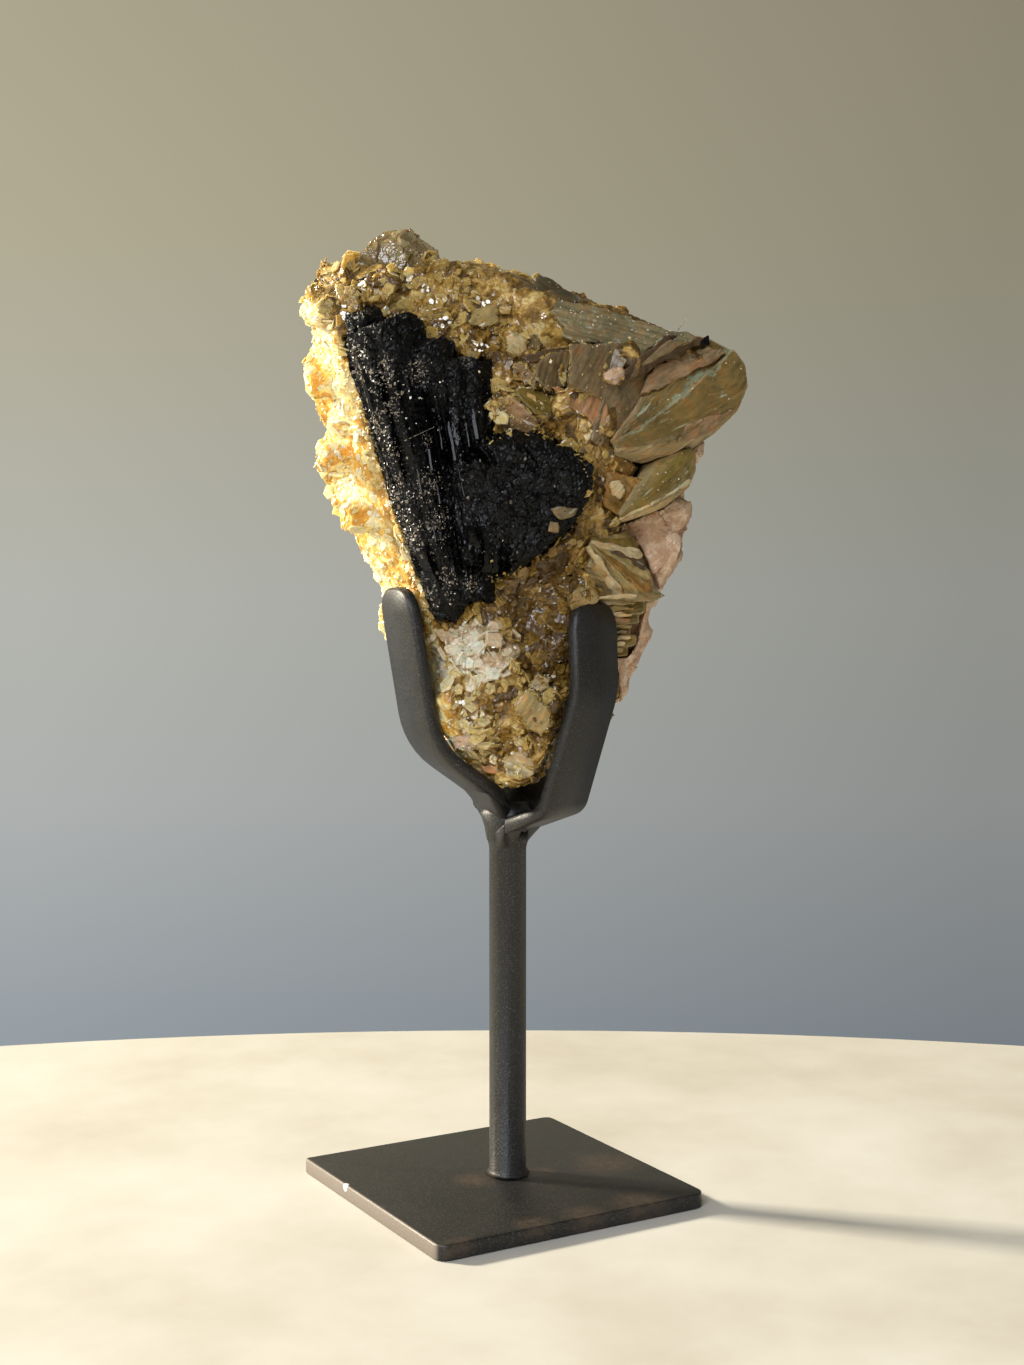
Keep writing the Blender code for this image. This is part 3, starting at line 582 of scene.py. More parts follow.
def grow(name, ground, count, widths, thick, lean, tones, material, seed, wanted=None):
    """Tablets grown on a skin, each with its own lean, joined in one mesh.

    count of them are tried. widths and thick are in millimetres, lean is how far a tablet may
    tip, and tones are the lowest and highest tone. wanted says how likely one is at a place
    that looks some way.
    """
    draw = random.Random(seed)
    faces = ground.data.polygons
    areas = [face.area for face in faces]
    bm = bmesh.new()
    growths = []
    for index in draw.choices(range(len(faces)), weights=areas, k=count):
        face = faces[index]
        spot = as_seen(face.center)
        looks = TURN.transposed() @ face.normal
        if wanted and draw.random() > wanted(spot, looks):
            continue
        if holder_tree.find_nearest(face.center, HOLDER_CLEARANCE * MM)[0] is not None:
            continue
        tip = any_way(draw).normalized() * lean
        facing = (face.normal + tip).normalized()
        width = (widths[0] + (widths[1] - widths[0]) * draw.random() ** 2) / 2
        points = set_tablet(bm, draw, face.center, facing, width, draw.uniform(*thick))
        # Neighbours are alike: a tablet's tone comes from its place, and a little from its own draw.
        like = between(noise.noise(spot * 0.25 + Vector((4, 4, 4))), -0.6, 0.6)
        tone = tones[0] + (tones[1] - tones[0]) * (0.7 * like + 0.3 * draw.random())
        growths += [(tone, flank(spot), paler(spot))] * points
    piece = hang(name, bm, material)
    keep_growth(piece.data, growths)
    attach(piece, "root")
    return piece


# The line of the stone's top right edge: its height above the post, and its fall per millimetre.
TOP_EDGE = 236
TOP_EDGE_FALL = 0.38


def past_top_edge(spot):
    """How far above the line of the top right edge a place lies."""
    return spot.z - TOP_EDGE + TOP_EDGE_FALL * spot.x


def on_granular_crust(spot, looks):
    """Crystals keep to the granular crust, and clear of the smooth top right edge."""
    near_top = past_top_edge(spot)
    clear = between(near_top, -8, -4) * between(spot.x, 6, 10) * between(spot.y, 30, 24)
    return granular(spot) ** 2 * (1 - clear)


grow(
    "mica_grains", mass, 2400, (0.5, 1.6), (0.15, 0.3), 0.8, (0.2, 0.85), golden_mica, 20, on_granular_crust
)


def off_flank(spot, looks):
    """Large tablets leave the flank and the mass's left side to smaller ones."""
    return on_granular_crust(spot, looks) * (1 - 0.8 * flank(spot))


grow("mica_tablets", mass, 4800, (1.8, 6.2), (0.15, 0.45), 0.42, (0.3, 0.74), golden_mica, 21, off_flank)


def on_flank(spot, looks):
    """Small tablets cover the left flank."""
    return flank(spot)


grow("flank_tablets", mass, 9000, (0.9, 2.8), (0.15, 0.4), 0.5, (0.2, 0.8), golden_mica, 50, on_flank)

# Fresh cleavage flakes, nearly colourless, that flash when the light finds them.
silver_mica = mica_look(
    "pale cleavage flakes of mica",
    [(0.1, "B9A582"), (0.5, "D8CCB4"), (0.9, "F2EEE4")],
    [(0.1, "E0B878"), (0.5, "F2DDB0"), (0.9, "FFF8E8")],
    0.05,
    0.2,
    {"Coat Weight": 0.5, "Coat Roughness": 0.06},
)
grow(
    "mica_bright_flakes", mass, 1300, (0.5, 2.0), (0.08, 0.2), 0.7, (0.2, 1.0), silver_mica, 22,
    on_granular_crust,
)

# The few that do so towards the window stand on the crown and beside the black crystals. Each
# is a place (right, up) and its width.
WINDOW_GLINTS = [
    (-36.4, 230.4, 2.6), (-40.2, 224.8, 3.4), (-48.3, 223.2, 1.6), (-20.8, 230.6, 2.2),
    (-18.8, 226.6, 3.2), (-15.7, 221.9, 2.8), (-6.2, 227.0, 2.4), (-7.4, 216.3, 2.2),
    (-4.9, 215.9, 1.6), (-4.4, 211.8, 1.5), (-35.9, 234.1, 1.4), (-23.3, 232.4, 1.6),
    (9.0, 224.0, 1.2), (16.0, 221.5, 1.0), (-12.0, 125.5, 2.2), (-10.5, 122.0, 1.8),
    (-3.0, 141.0, 1.4), (8.5, 131.0, 1.6),
]
draw = random.Random(8)
bm = bmesh.new()
growths = []
for right, up, width in WINDOW_GLINTS:
    place, normal = on_stone(right, up)
    for step in range(6):
        shift = TURN @ Vector((draw.uniform(-0.5, 0.5), 0, draw.uniform(-0.5, 0.5))) * width * MM
        jitter = any_way(draw) * 0.09
        facing = (glint_normal(place) + jitter).normalized()
        across = width * draw.uniform(0.14, 0.3)
        points = set_tablet(bm, draw, place + shift + normal * 0.25 * MM, facing, across, 0.25)
        growths += [(0.9, 0.0, 0.0)] * points
glints = hang("mica_window_glints", bm, silver_mica)
keep_growth(glints.data, growths)
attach(glints, "root")


# SMOOTH MICA PLATES
# Where the crust breaks off, large mica crystals show their flat sides: plates a centimetre
# or more across, with fine lines along them, and a thin dark side where one is seen edge on.

# The tints of mica in a thick plate or a book, and of the stains between its sheets.
SHEET_COLOURS = {
    "olive": "735F33",
    "olive dark": "544B34",
    "smoke": "7C6A4C",
    "rose": "8F7657",
    "bark": "5A4732",
    "straw": "A08B5A",
    "cream": "C0AE86",
    "blush": "CBB09A",
    "apricot": "AC8058",
    "amber": "8F6C34",
    "gold": "74622E",
    "grey": "786E50",
    "mint": "80856A",
}


def sheet_look(name, values, streak_colour, streak_share):
    """Mica seen on its sheets: a tint of its own, with fine streaks along them and tiny specks."""
    material, tree, shader = start_material(name, {"IOR": 1.58, **values})
    tint = add(tree, "Attribute", attribute_name="tint")["Color"]
    sheets = add(tree, "Attribute", attribute_name="sheets")["Vector"]
    place = add(tree, "TexCoord")["Object"]
    streaks = add(tree, "TexNoise", {"Vector": sheets, "Scale": 1.0, "Detail": 6, "Roughness": 0.62})["Fac"]
    cloud = add(
        tree, "TexNoise", {"Vector": place, "Scale": 0.13 / MM, "Detail": 6, "Roughness": 0.65}
    )["Fac"]
    mixed = add(tree, "Mix", {"Factor": 0.45, "A": streaks, "B": cloud}, data_type="FLOAT")["Result"]
    shade = add(
        tree, "MapRange", {"Value": mixed, "From Min": 0.36, "From Max": 0.64, "To Min": 0.52, "To Max": 1.46}
    )["Result"]
    # Between the sheets lie stains, greener and rustier, a few millimetres wide.
    stains = add(
        tree, "TexNoise", {"Vector": place, "Scale": 0.31 / MM, "Detail": 5, "Roughness": 0.6}
    )["Fac"]
    stain = add(
        tree, "ValToRGB", {"Fac": stains}, [(0.34, "989A84"), (0.5, "BCBCBC"), (0.66, "D8B48C")]
    )["Color"]
    stained = add(
        tree, "Mix", {"Factor": 0.6, "A": tint, "B": stain}, data_type="RGBA", blend_type="OVERLAY"
    )["Result"]
    tinted = add(tree, "HueSaturation", {"Color": stained, "Value": shade})["Color"]
    # Weathered streaks, paler and greener, a millimetre or two wide.
    patches = add(tree, "TexNoise", {"Vector": sheets, "Scale": 0.55, "Detail": 4, "Roughness": 0.6})["Fac"]
    from_here = 0.66 - streak_share
    to_here = 0.72 - streak_share
    fade = {"Value": patches, "From Min": from_here, "From Max": to_here, "To Max": 0.75}
    weathered = add(tree, "MapRange", fade)["Result"]
    streaked = add(
        tree, "Mix", {"Factor": weathered, "A": tinted, "B": srgb(streak_colour)}, data_type="RGBA"
    )["Result"]
    rough = add(
        tree, "MapRange", {"Value": cloud, "From Min": 0.3, "From Max": 0.7, "To Min": 0.2, "To Max": 0.46}
    )["Result"]
    bump = add(tree, "Bump", {"Height": mixed, "Strength": 0.7, "Distance": 0.4 * MM})["Normal"]
    feed(tree, shader, {"Base Color": streaked, "Roughness": rough, "Normal": bump})
    return material


def keep_sheets(mesh, tints, sheets):
    """Keep on a mesh what a sheet look reads: each point's tint, and where it lies on its sheet."""
    keep_values(mesh, "tint", "FLOAT_COLOR", "color", tints)
    keep_values(mesh, "sheets", "FLOAT_VECTOR", "vector", sheets)


def slope_under(outline, right, up):
    """A plane that lies on the stone under an outline: its depth at the middle, and its two slopes."""
    depths = []
    for share in (0.0, 0.35, 0.65, 0.95):
        for x, z in outline:
            hit = on_stone(right + (x - right) * share, up + (z - up) * share)
            if hit:
                depths.append(((x - right) * share, (z - up) * share, as_seen(hit[0]).y))
    middle = sum(depth for x, z, depth in depths) / len(depths)
    xx = sum(x * x for x, z, depth in depths) + 1
    zz = sum(z * z for x, z, depth in depths) + 1
    xz = sum(x * z for x, z, depth in depths)
    xd = sum(x * (depth - middle) for x, z, depth in depths)
    zd = sum(z * (depth - middle) for x, z, depth in depths)
    across = (xd * zz - zd * xz) / (xx * zz - xz * xz)
    along = (zd * xx - xd * xz) / (xx * zz - xz * xz)
    across = max(-0.9, min(0.9, across))
    along = max(-0.9, min(0.9, along))
    proudest = max(middle + across * x + along * z - depth for x, z, depth in depths)
    return middle - 0.6 * proudest, across, along


def at_depth(right, up, away):
    """A place that the camera sees at (right, up) beside the post, but further away or nearer."""
    grows = 1 + away / -CAMERA_PLACE[1]
    return seen(right * grows, away, CAMERA_PLACE[2] + (up - CAMERA_PLACE[2]) * grows)


def broken_outline(outline, draw):
    """An outline with its straight runs broken into uneven steps of about a millimetre."""
    rough = []
    for (x, z), (next_x, next_z) in zip(outline, outline[1:] + outline[:1]):
        length = math.hypot(next_x - x, next_z - z)
        pieces = max(1, round(length / 1.3))
        for step in range(pieces):
            share = step / pieces
            out = draw.uniform(-0.35, 0.35) if step else 0.0
            side_x = -(next_z - z) / length * out
            side_z = (next_x - x) / length * out
            rough.append((x + (next_x - x) * share + side_x, z + (next_z - z) * share + side_z))
    return rough


# A plate less wide than this keeps its sharp corners. A plate's skin is of cells this small.
SMALL_PLATE = 12
PLATE_CELL = 0.36


def lay_plates(name, plates, material):
    """Lay flat plates on the stone, and join them in one piece.

    A plate is its outline (right, up), its colour, how far it stands proud, its thickness, and
    the direction of its lines in degrees from level.
    """
    draw = random.Random(len(plates))
    joined = bmesh.new()
    tints = []
    sheets = []
    for outline, colour, proud, thick, lines in plates:
        right = sum(x for x, z in outline) / len(outline)
        up = sum(z for x, z in outline) / len(outline)
        middle, across, along = slope_under(outline, right, up)
        bm = bmesh.new()
        rim = []
        for x, z in broken_outline(outline, draw):
            depth = middle + across * (x - right) + along * (z - up) - proud
            rim.append(bm.verts.new(at_depth(x, z, depth)))
        back = draw_out(bm, [bm.faces.new(rim)])
        bmesh.ops.translate(bm, verts=back, vec=TURN @ Vector((0, thick, 0)) * MM)
        bmesh.ops.recalc_face_normals(bm, faces=bm.faces)
        broad = max(x for x, z in outline) - min(x for x, z in outline)
        plate = hang("plate", bm, material)
        run_together(plate, PLATE_CELL, 3 if broad > SMALL_PLATE else 1)
        mesh = plate.data
        cosine = math.cos(math.radians(lines))
        sine = math.sin(math.radians(lines))
        normals = [vert.normal.copy() for vert in mesh.vertices]
        for vert, normal in zip(mesh.vertices, normals):
            spot = as_seen(vert.co)
            far = spot.x * cosine + spot.z * sine
            wide = spot.z * cosine - spot.x * sine + 0.3 * noise.noise(Vector((far * 0.2, 3, 5)))
            # Fine ribs run along the plate, and slow waves cross it.
            ribs = 0.14 * noise.noise(Vector((wide * 0.9, far * 0.06, lines)))
            ribs += 0.06 * noise.noise(Vector((wide * 2.6, far * 0.1, lines)))
            waves = 0.55 * noise.noise(spot * 0.2 + Vector((lines, 0, 0))) + 0.16 * noise.noise(spot * 0.8)
            vert.co += normal * (ribs + waves) * MM
            tints += srgb(SHEET_COLOURS[colour])
            sheets += [wide * 1.3, far * 0.13, spot.y * 0.6]
        mesh.update()
        joined.from_mesh(mesh)
        bpy.data.objects.remove(plate)
    piece = hang(name, joined, material)
    keep_sheets(piece.data, tints, sheets)
    piece.data.shade_smooth()
    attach(piece, "root")
    keep_skin(piece)
    return piece


# Cleaved mica in thick plates: brown, half glossy, a little clear to light at the edges.
smooth_mica = sheet_look(
    "smooth mica plates", {"Specular IOR Level": 0.4, **glow(0.2, (1.0, 0.6, 0.3), 1.0)}, "A9AB98", 0.02
)
TOP_SLAB = [
    (10.5, 225.0), (12.6, 228.2), (19.1, 226.8), (27.1, 224.7), (35.6, 222.0), (43.1, 220.0),
    (48.8, 218.6), (44.0, 217.0), (38.0, 217.0), (30.4, 212.7), (28.1, 215.0), (23.4, 217.6),
    (18.7, 217.0), (13.6, 219.0), (14.4, 221.4),
]
ARC_PLATE = [
    (14.5, 206.5), (15.4, 212.5), (19.6, 216.6), (24.3, 217.0), (28.1, 215.5), (30.4, 213.0),
    (28.6, 210.0), (24.4, 207.0),
]
GREY_PLATE = [
    (6.5, 211.5), (9.5, 213.7), (13.5, 215.2), (16.8, 214.8), (14.2, 206.2), (9.8, 205.4),
    (7.2, 208.8),
]
ROOT_OF_BOOK = [
    (16.0, 217.0), (44.0, 217.5), (52.0, 214.0), (44.0, 204.0), (33.0, 195.0), (24.5, 189.0),
    (21.0, 193.0), (24.0, 203.0), (15.5, 207.0),
]
DARK_CAP = [
    (7.5, 234.4), (10.5, 233.6), (14.0, 231.0), (18.7, 227.8), (15.0, 226.6), (10.0, 228.6),
    (7.2, 230.6),
]
smooth_plates = lay_plates(
    "smooth_mica_plates",
    [
        (ROOT_OF_BOOK, "smoke", -0.4, 6.0, 55),
        (TOP_SLAB, "grey", 0.5, 5.0, -14),
        (DARK_CAP, "olive dark", 0.2, 5.0, -30),
        ([(3.9, 213.8), (9.8, 215.6), (17.8, 216.8), (18.2, 215.2), (12.1, 213.8), (5.1, 212.0)],
         "bark", 0.6, 2.5, 10),
        (ARC_PLATE, "smoke", 0.8, 4.0, 62),
        (GREY_PLATE, "smoke", 1.0, 4.0, 75),
        ([(18.9, 217.2), (17.2, 215.8), (13.7, 206.2), (14.6, 206.0), (18.2, 213.4)],
         "bark", 1.5, 4.0, 68),
        ([(-6.9, 110.1), (-2.2, 110.1), (-2.3, 107.7), (-6.3, 108.6)], "apricot", 0.6, 2.0, 0),
        ([(1.8, 205.2), (5.6, 206.1), (9.3, 205.0), (11.5, 202.0), (10.8, 199.4), (7.5, 199.0),
          (3.7, 202.5)], "gold", 0.9, 3.5, -35),
        ([(25.0, 185.5), (30.5, 184.0), (36.0, 182.5), (33.0, 178.0), (28.0, 173.6), (24.6, 176.0)],
         "amber", 1.6, 4.0, -50),
        ([(23.5, 188.6), (28.2, 189.0), (33.2, 186.1), (31.0, 183.3), (26.3, 182.4), (22.5, 184.7)],
         "amber", 0.6, 3.0, -30),
        ([(10.5, 206.4), (17.8, 205.2), (24.4, 205.9), (25.5, 200.1), (23.5, 194.0), (20.1, 198.7),
          (15.9, 200.6)], "apricot", 0.4, 3.0, 70),
    ],
    smooth_mica,
)

# Thin bleached plates: paler, and clearer to light.
pale_mica = sheet_look("pale mica plates", glow(0.3, (1.0, 0.8, 0.6), 1.0), "F0EBE0", 0.03)
pale_plates = lay_plates(
    "pale_mica_plates",
    [
        ([(-2.4, 202.9), (0.9, 203.6), (4.2, 201.5), (7.5, 198.2), (7.0, 195.7), (3.7, 194.0),
          (-0.5, 194.3), (-2.6, 197.4)], "rose", 1.0, 3.5, -30),
        ([(-0.3, 218.7), (1.8, 219.7), (4.6, 218.0), (5.1, 215.5), (2.8, 213.8), (0.2, 215.5)],
         "cream", 0.8, 3.0, -40),
        ([(5.1, 219.2), (7.0, 219.6), (8.8, 216.9), (7.5, 215.5), (5.1, 215.7)], "smoke", 0.8, 2.5, 60),
        ([(1.8, 211.7), (4.2, 212.2), (7.3, 209.4), (7.0, 206.4), (3.7, 207.4)], "rose", 0.7, 2.5, 40),
        ([(24.1, 209.7), (25.8, 210.8), (29.0, 211.1), (29.5, 209.0), (27.2, 206.8), (24.8, 208.1)],
         "blush", 1.6, 3.0, 20),
        ([(26.0, 182.4), (28.4, 183.0), (30.0, 180.2), (28.6, 177.8), (26.4, 178.6)],
         "cream", 1.1, 3.0, 50),
        ([(3.0, 128.4), (5.9, 129.2), (10.8, 124.1), (11.2, 120.4), (8.3, 118.0), (4.8, 120.4),
          (2.2, 124.7)], "straw", 1.0, 3.5, 60),
        ([(5.3, 130.4), (7.7, 133.7), (11.1, 132.3), (10.6, 129.8), (7.7, 128.9)],
         "cream", 0.9, 3.0, 30),
        ([(-13.9, 117.1), (-9.3, 118.5), (-6.1, 115.9), (-9.3, 114.0), (-13.3, 114.6)],
         "blush", 0.7, 2.5, 10),
        ([(-1.3, 111.2), (3.6, 113.2), (8.0, 110.1), (5.7, 107.2), (0.1, 107.5)],
         "cream", 0.8, 3.0, -15),
        ([(15.6, 153.3), (18.1, 156.4), (21.8, 155.2), (22.8, 151.9), (16.4, 149.6)],
         "straw", 0.9, 3.0, 55),
        ([(-8.5, 226.0), (-3.0, 227.0), (-2.2, 222.6), (-6.4, 220.6), (-10.0, 222.4)],
         "straw", 0.7, 2.5, 40),
    ],
    pale_mica,
)


def on_edges(spot, looks):
    """Small grains hold on round the plates' edges, and lie thin on their faces."""
    near_top = past_top_edge(spot)
    return (0.012 + 0.9 * between(looks.y, -0.8, -0.45)) * between(near_top, -4, -8)


for name, plates, seed in (("smooth", smooth_plates, 41), ("pale", pale_plates, 42)):
    grow(
        name + "_plate_grains", plates, 2200, (0.4, 1.9), (0.12, 0.3), 0.8, (0.2, 0.9), golden_mica, seed,
        on_edges,
    )


def on_slab_top(spot, looks):
    """Bright specks lie along the upper edge of the top slab, and few below it."""
    # How far a place lies under that edge, which falls to the right.
    under = 229 - 0.3 * spot.x - spot.z
    return 0.012 + 0.5 * between(under, 9, 3) * between(spot.x, 6, 12)


grow(
    "slab_specks", smooth_plates, 3500, (0.2, 0.7), (0.05, 0.1), 0.9, (0.5, 1.0), silver_mica, 45, on_slab_top
)


# BLACK TOURMALINE
# Schorl: long ribbed prisms with worn, knobbly heads, and one stubby crystal seen on its
# granular end. Glassy black, with long reflections down the ribs.

# The way the long prisms run, the way across them, and the stub's middle: (right, away, up).
AXIS = Vector((-0.245, 0.0, 0.97))
ACROSS = Vector((0.97, 0.0, 0.245))
STUB_PLACE = Vector((4.5, -22, 176))

# Schorl, grown and then worn: glassy black on its ribs, and satin where it is worn, with a
# grain of 0.8 mm.
schorl, tree, shader = start_material("black schorl tourmaline", {"IOR": 1.64, "Specular IOR Level": 0.13})
place = add(tree, "TexCoord")["Object"]
grain = add(tree, "TexNoise", {"Vector": place, "Scale": 1.3 / MM, "Detail": 4, "Roughness": 0.7})["Fac"]
bump = add(tree, "Bump", {"Height": grain, "Strength": 0.3, "Distance": 0.2 * MM})["Normal"]
worn = add(tree, "Attribute", attribute_name="worn")["Fac"]
rough = add(tree, "MapRange", {"Value": worn, "To Min": 0.14, "To Max": 0.42})["Result"]
black = add(tree, "ValToRGB", {"Fac": grain}, [(0.3, "020202"), (0.55, "060606"), (0.8, "131211")])["Color"]
feed(tree, shader, {"Base Color": black, "Roughness": rough, "Normal": bump})


def rib(across, width, shift):
    """Flat-faced ribs of one width: each leans its own way about the prism's axis."""
    at = across / width + shift
    base = math.floor(at)
    return (at - base - 0.5) * (noise.cell(Vector((base * 3.1 + shift, 5, 9))) * 2 - 1)


# The ends of the crystals are worn to grains: the stub, the prisms' heads and feet, and
# crumbled runs between them.
crystal = refine("tourmaline_crystals", "black_tourmaline", 0.38, schorl)
mesh = crystal.data
normals = [vert.normal.copy() for vert in mesh.vertices]
worn_values = []
for vert, normal in zip(mesh.vertices, normals):
    spot = as_seen(vert.co)
    wide = spot.dot(ACROSS) + 0.8 * spot.y + 0.5 * noise.noise(Vector((0, spot.z * 0.06, spot.y * 0.2)))
    stub = between((spot - STUB_PLACE).length, 17.5, 13.5)
    head = between(spot.z + 0.55 * spot.x + 4 * noise.noise(spot * 0.25), 187, 194)
    foot = between(spot.z + 2 * noise.noise(spot * 0.3), 160, 156)
    crumbled = between(noise.noise(Vector((wide * 0.22, spot.dot(AXIS) * 0.06, 3))), -0.1, 0.15)
    grainy = max(stub, head, foot, 0.7 * crumbled)
    ribs = 0.8 * rib(wide, 1.9, 0.3) + 0.55 * rib(wide, 1.1, 0.7)
    broad, tone = facet(spot, 6.5, 4)
    coarse, tone = facet(spot, 2.4, 1)
    fine, tone = facet(spot, 1.1, 2)
    height = (1 - grainy) * ribs + (0.55 * stub + 0.4 * head) * broad
    height += (0.15 + 0.85 * grainy) * ((0.42 - 0.2 * stub) * coarse + 0.36 * fine)
    vert.co += normal * height * MM
    worn_values.append(grainy)
mesh.update()
keep_values(mesh, "worn", "FLOAT", "value", worn_values)
keep_skin(crystal)


def from_middle(spot):
    """How far right of the long prisms' middle line a place lies."""
    return spot.x + 0.27 * (spot.z - 185)


def on_left_ribs(spot, looks):
    """Mica scales sit thick on the long crystals' left side, and thin elsewhere."""
    side = from_middle(spot)
    return 0.05 + 0.95 * between(side, -21, -27) * between(spot.z, 214, 209)


def on_head(spot, looks):
    """A few sparks of mica sit on the worn heads."""
    side = from_middle(spot)
    return 0.04 + 0.6 * between(spot.z, 211, 204) * between(spot.z, 190, 200) * between(side, -10, -14)


# Mica scales on the black: thin, so that they look grey and silky.
scale_mica = mica_look(
    "grey mica scales",
    [(0.2, "3E372F"), (0.5, "6B6053"), (0.85, "A0947F")],
    [(0.2, "6A5A46"), (0.5, "9C8B72"), (0.85, "D8C8A8")],
    0.15,
    0.4,
    {},
)
grow("mica_scales", crystal, 2200, (0.5, 1.6), (0.08, 0.2), 0.5, (0.1, 0.9), scale_mica, 23, on_left_ribs)

# In patches the scales lie so thick that the black hardly shows: (right, up) and reach.
SILVERED = [
    (-29.3, 206.5, 3.6), (-21.5, 207.1, 3.0), (-30.5, 195.2, 3.0), (-26.9, 198.6, 2.6),
    (-27.5, 188.0, 2.6), (-27.2, 180.8, 3.0), (-19.1, 179.6, 4.0), (-19.1, 190.4, 1.8),
    (-16.7, 171.3, 4.2), (-23.6, 168.9, 4.2), (-14.3, 157.2, 3.0), (-8.4, 156.0, 2.6),
    (-10.2, 210.7, 2.2),
]


def on_silvered(spot, looks):
    """The patches of scales on the long crystals' front."""
    share = 0.0
    for x, z, reach in SILVERED:
        share = max(share, between(math.hypot(spot.x - x, (spot.z - z) * 0.7), reach, reach * 0.3))
    return share * between(looks.y, 0.2, -0.3)


grow(
    "mica_silvering", crystal, 26000, (0.25, 0.9), (0.05, 0.12), 0.45, (0.2, 0.95), scale_mica, 48,
    on_silvered,
)
grow(
    "mica_silver_glints", crystal, 3500, (0.2, 0.6), (0.05, 0.1), 0.6, (0.3, 1.0), silver_mica, 49,
    on_silvered,
)
grow("mica_sparks", crystal, 1500, (0.3, 0.8), (0.06, 0.12), 0.8, (0.3, 0.9), silver_mica, 24, on_head)


def on_stub_rim(spot, looks):
    """Mica laps a little over the stub's rim."""
    out = math.hypot(spot.x - STUB_PLACE.x, (spot.z - STUB_PLACE.z) * 1.05)
    return between(out, 14.5, 17.0) * between(spot.y, -30, -27) * between(spot.x, -6, 0)


grow("stub_fringe", crystal, 2600, (0.8, 2.8), (0.1, 0.25), 0.7, (0.2, 0.9), golden_mica, 44, on_stub_rim)

# Long flat ribs that mirror the window: (right, up) of each one's ends, and its width. They
# stand out of the crystal by part of their depth.
RIB_DEEP = 1.6
RIB_SINK = 0.35
MIRROR_RIBS = [
    ((-9.3, 202.0), (-7.4, 192.6), 1.0), ((-11.2, 200.4), (-9.4, 190.6), 0.5),
    ((-15.6, 200.0), (-12.9, 187.2), 0.8), ((-17.6, 196.6), (-16.2, 190.2), 0.45),
    ((-20.9, 194.4), (-18.8, 184.6), 0.7), ((-18.4, 183.6), (-16.8, 176.4), 0.5),
    ((-23.4, 187.4), (-21.4, 178.6), 0.5), ((-12.4, 185.6), (-10.9, 178.4), 0.4),
    ((-19.6, 174.4), (-17.9, 166.6), 0.4),
]
bm = bmesh.new()
for (top_right, top_up), (low_right, low_up), width in MIRROR_RIBS:
    hits = [on_stone(top_right, top_up)[0], on_stone(low_right, low_up)[0]]
    middle = (hits[0] + hits[1]) / 2
    facing = glint_normal(middle)
    along = (hits[0] - hits[1]) - facing * (hits[0] - hits[1]).dot(facing)
    length = along.length
    along.normalize()
    aside = facing.cross(along)
    stands = Matrix((aside, along, facing)).transposed().to_4x4()
    size = Matrix.Diagonal((width * MM, length, RIB_DEEP * MM, 1))
    lift = Matrix.Translation(middle - facing * RIB_SINK * MM)
    made = bmesh.ops.create_cube(bm, size=1, matrix=lift @ stands @ size)
    corners = list(dict.fromkeys(edge for vert in made["verts"] for edge in vert.link_edges))
    bmesh.ops.bevel(bm, geom=corners, offset=0.12 * MM, segments=1, profile=0.5, affect="EDGES", material=-1)
long_edges = [edge for edge in bm.edges if edge.calc_length() > 3 * MM]
bmesh.ops.subdivide_edges(bm, edges=long_edges, cuts=9, use_grid_fill=True)
for vert in bm.verts:
    vert.co += noise.noise_vector(vert.co / MM * 0.5) * 0.16 * MM
mirror_ribs = hang("tourmaline_mirror_ribs", bm, schorl)
keep_values(mirror_ribs.data, "worn", "FLOAT", "value", [0.45] * len(mirror_ribs.data.vertices))
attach(mirror_ribs, "root")

# Two leaves of mica are grown into the stub's face.
lay_plates(
    "mica_inclusions",
    [
        ([(10.8, 175.5), (14.5, 176.2), (18.0, 175.8), (16.9, 174.2), (13.6, 172.7), (12.0, 174.0)],
         "smoke", 0.4, 2.0, 15),
        ([(10.6, 172.6), (13.0, 172.2), (12.9, 169.6), (10.3, 169.8)], "smoke", 0.4, 2.0, 50),
    ],
    smooth_mica,
)


# MICA BOOKS
# Thick books of mica sheets, olive brown, that fan out from a root and end in broken rims.
# On their faces the sheets show as fine lines that run from root to rim.

# Under this height the lower book is seen edge on, as a stack of level leaves.
LEAVES_BELOW = 156


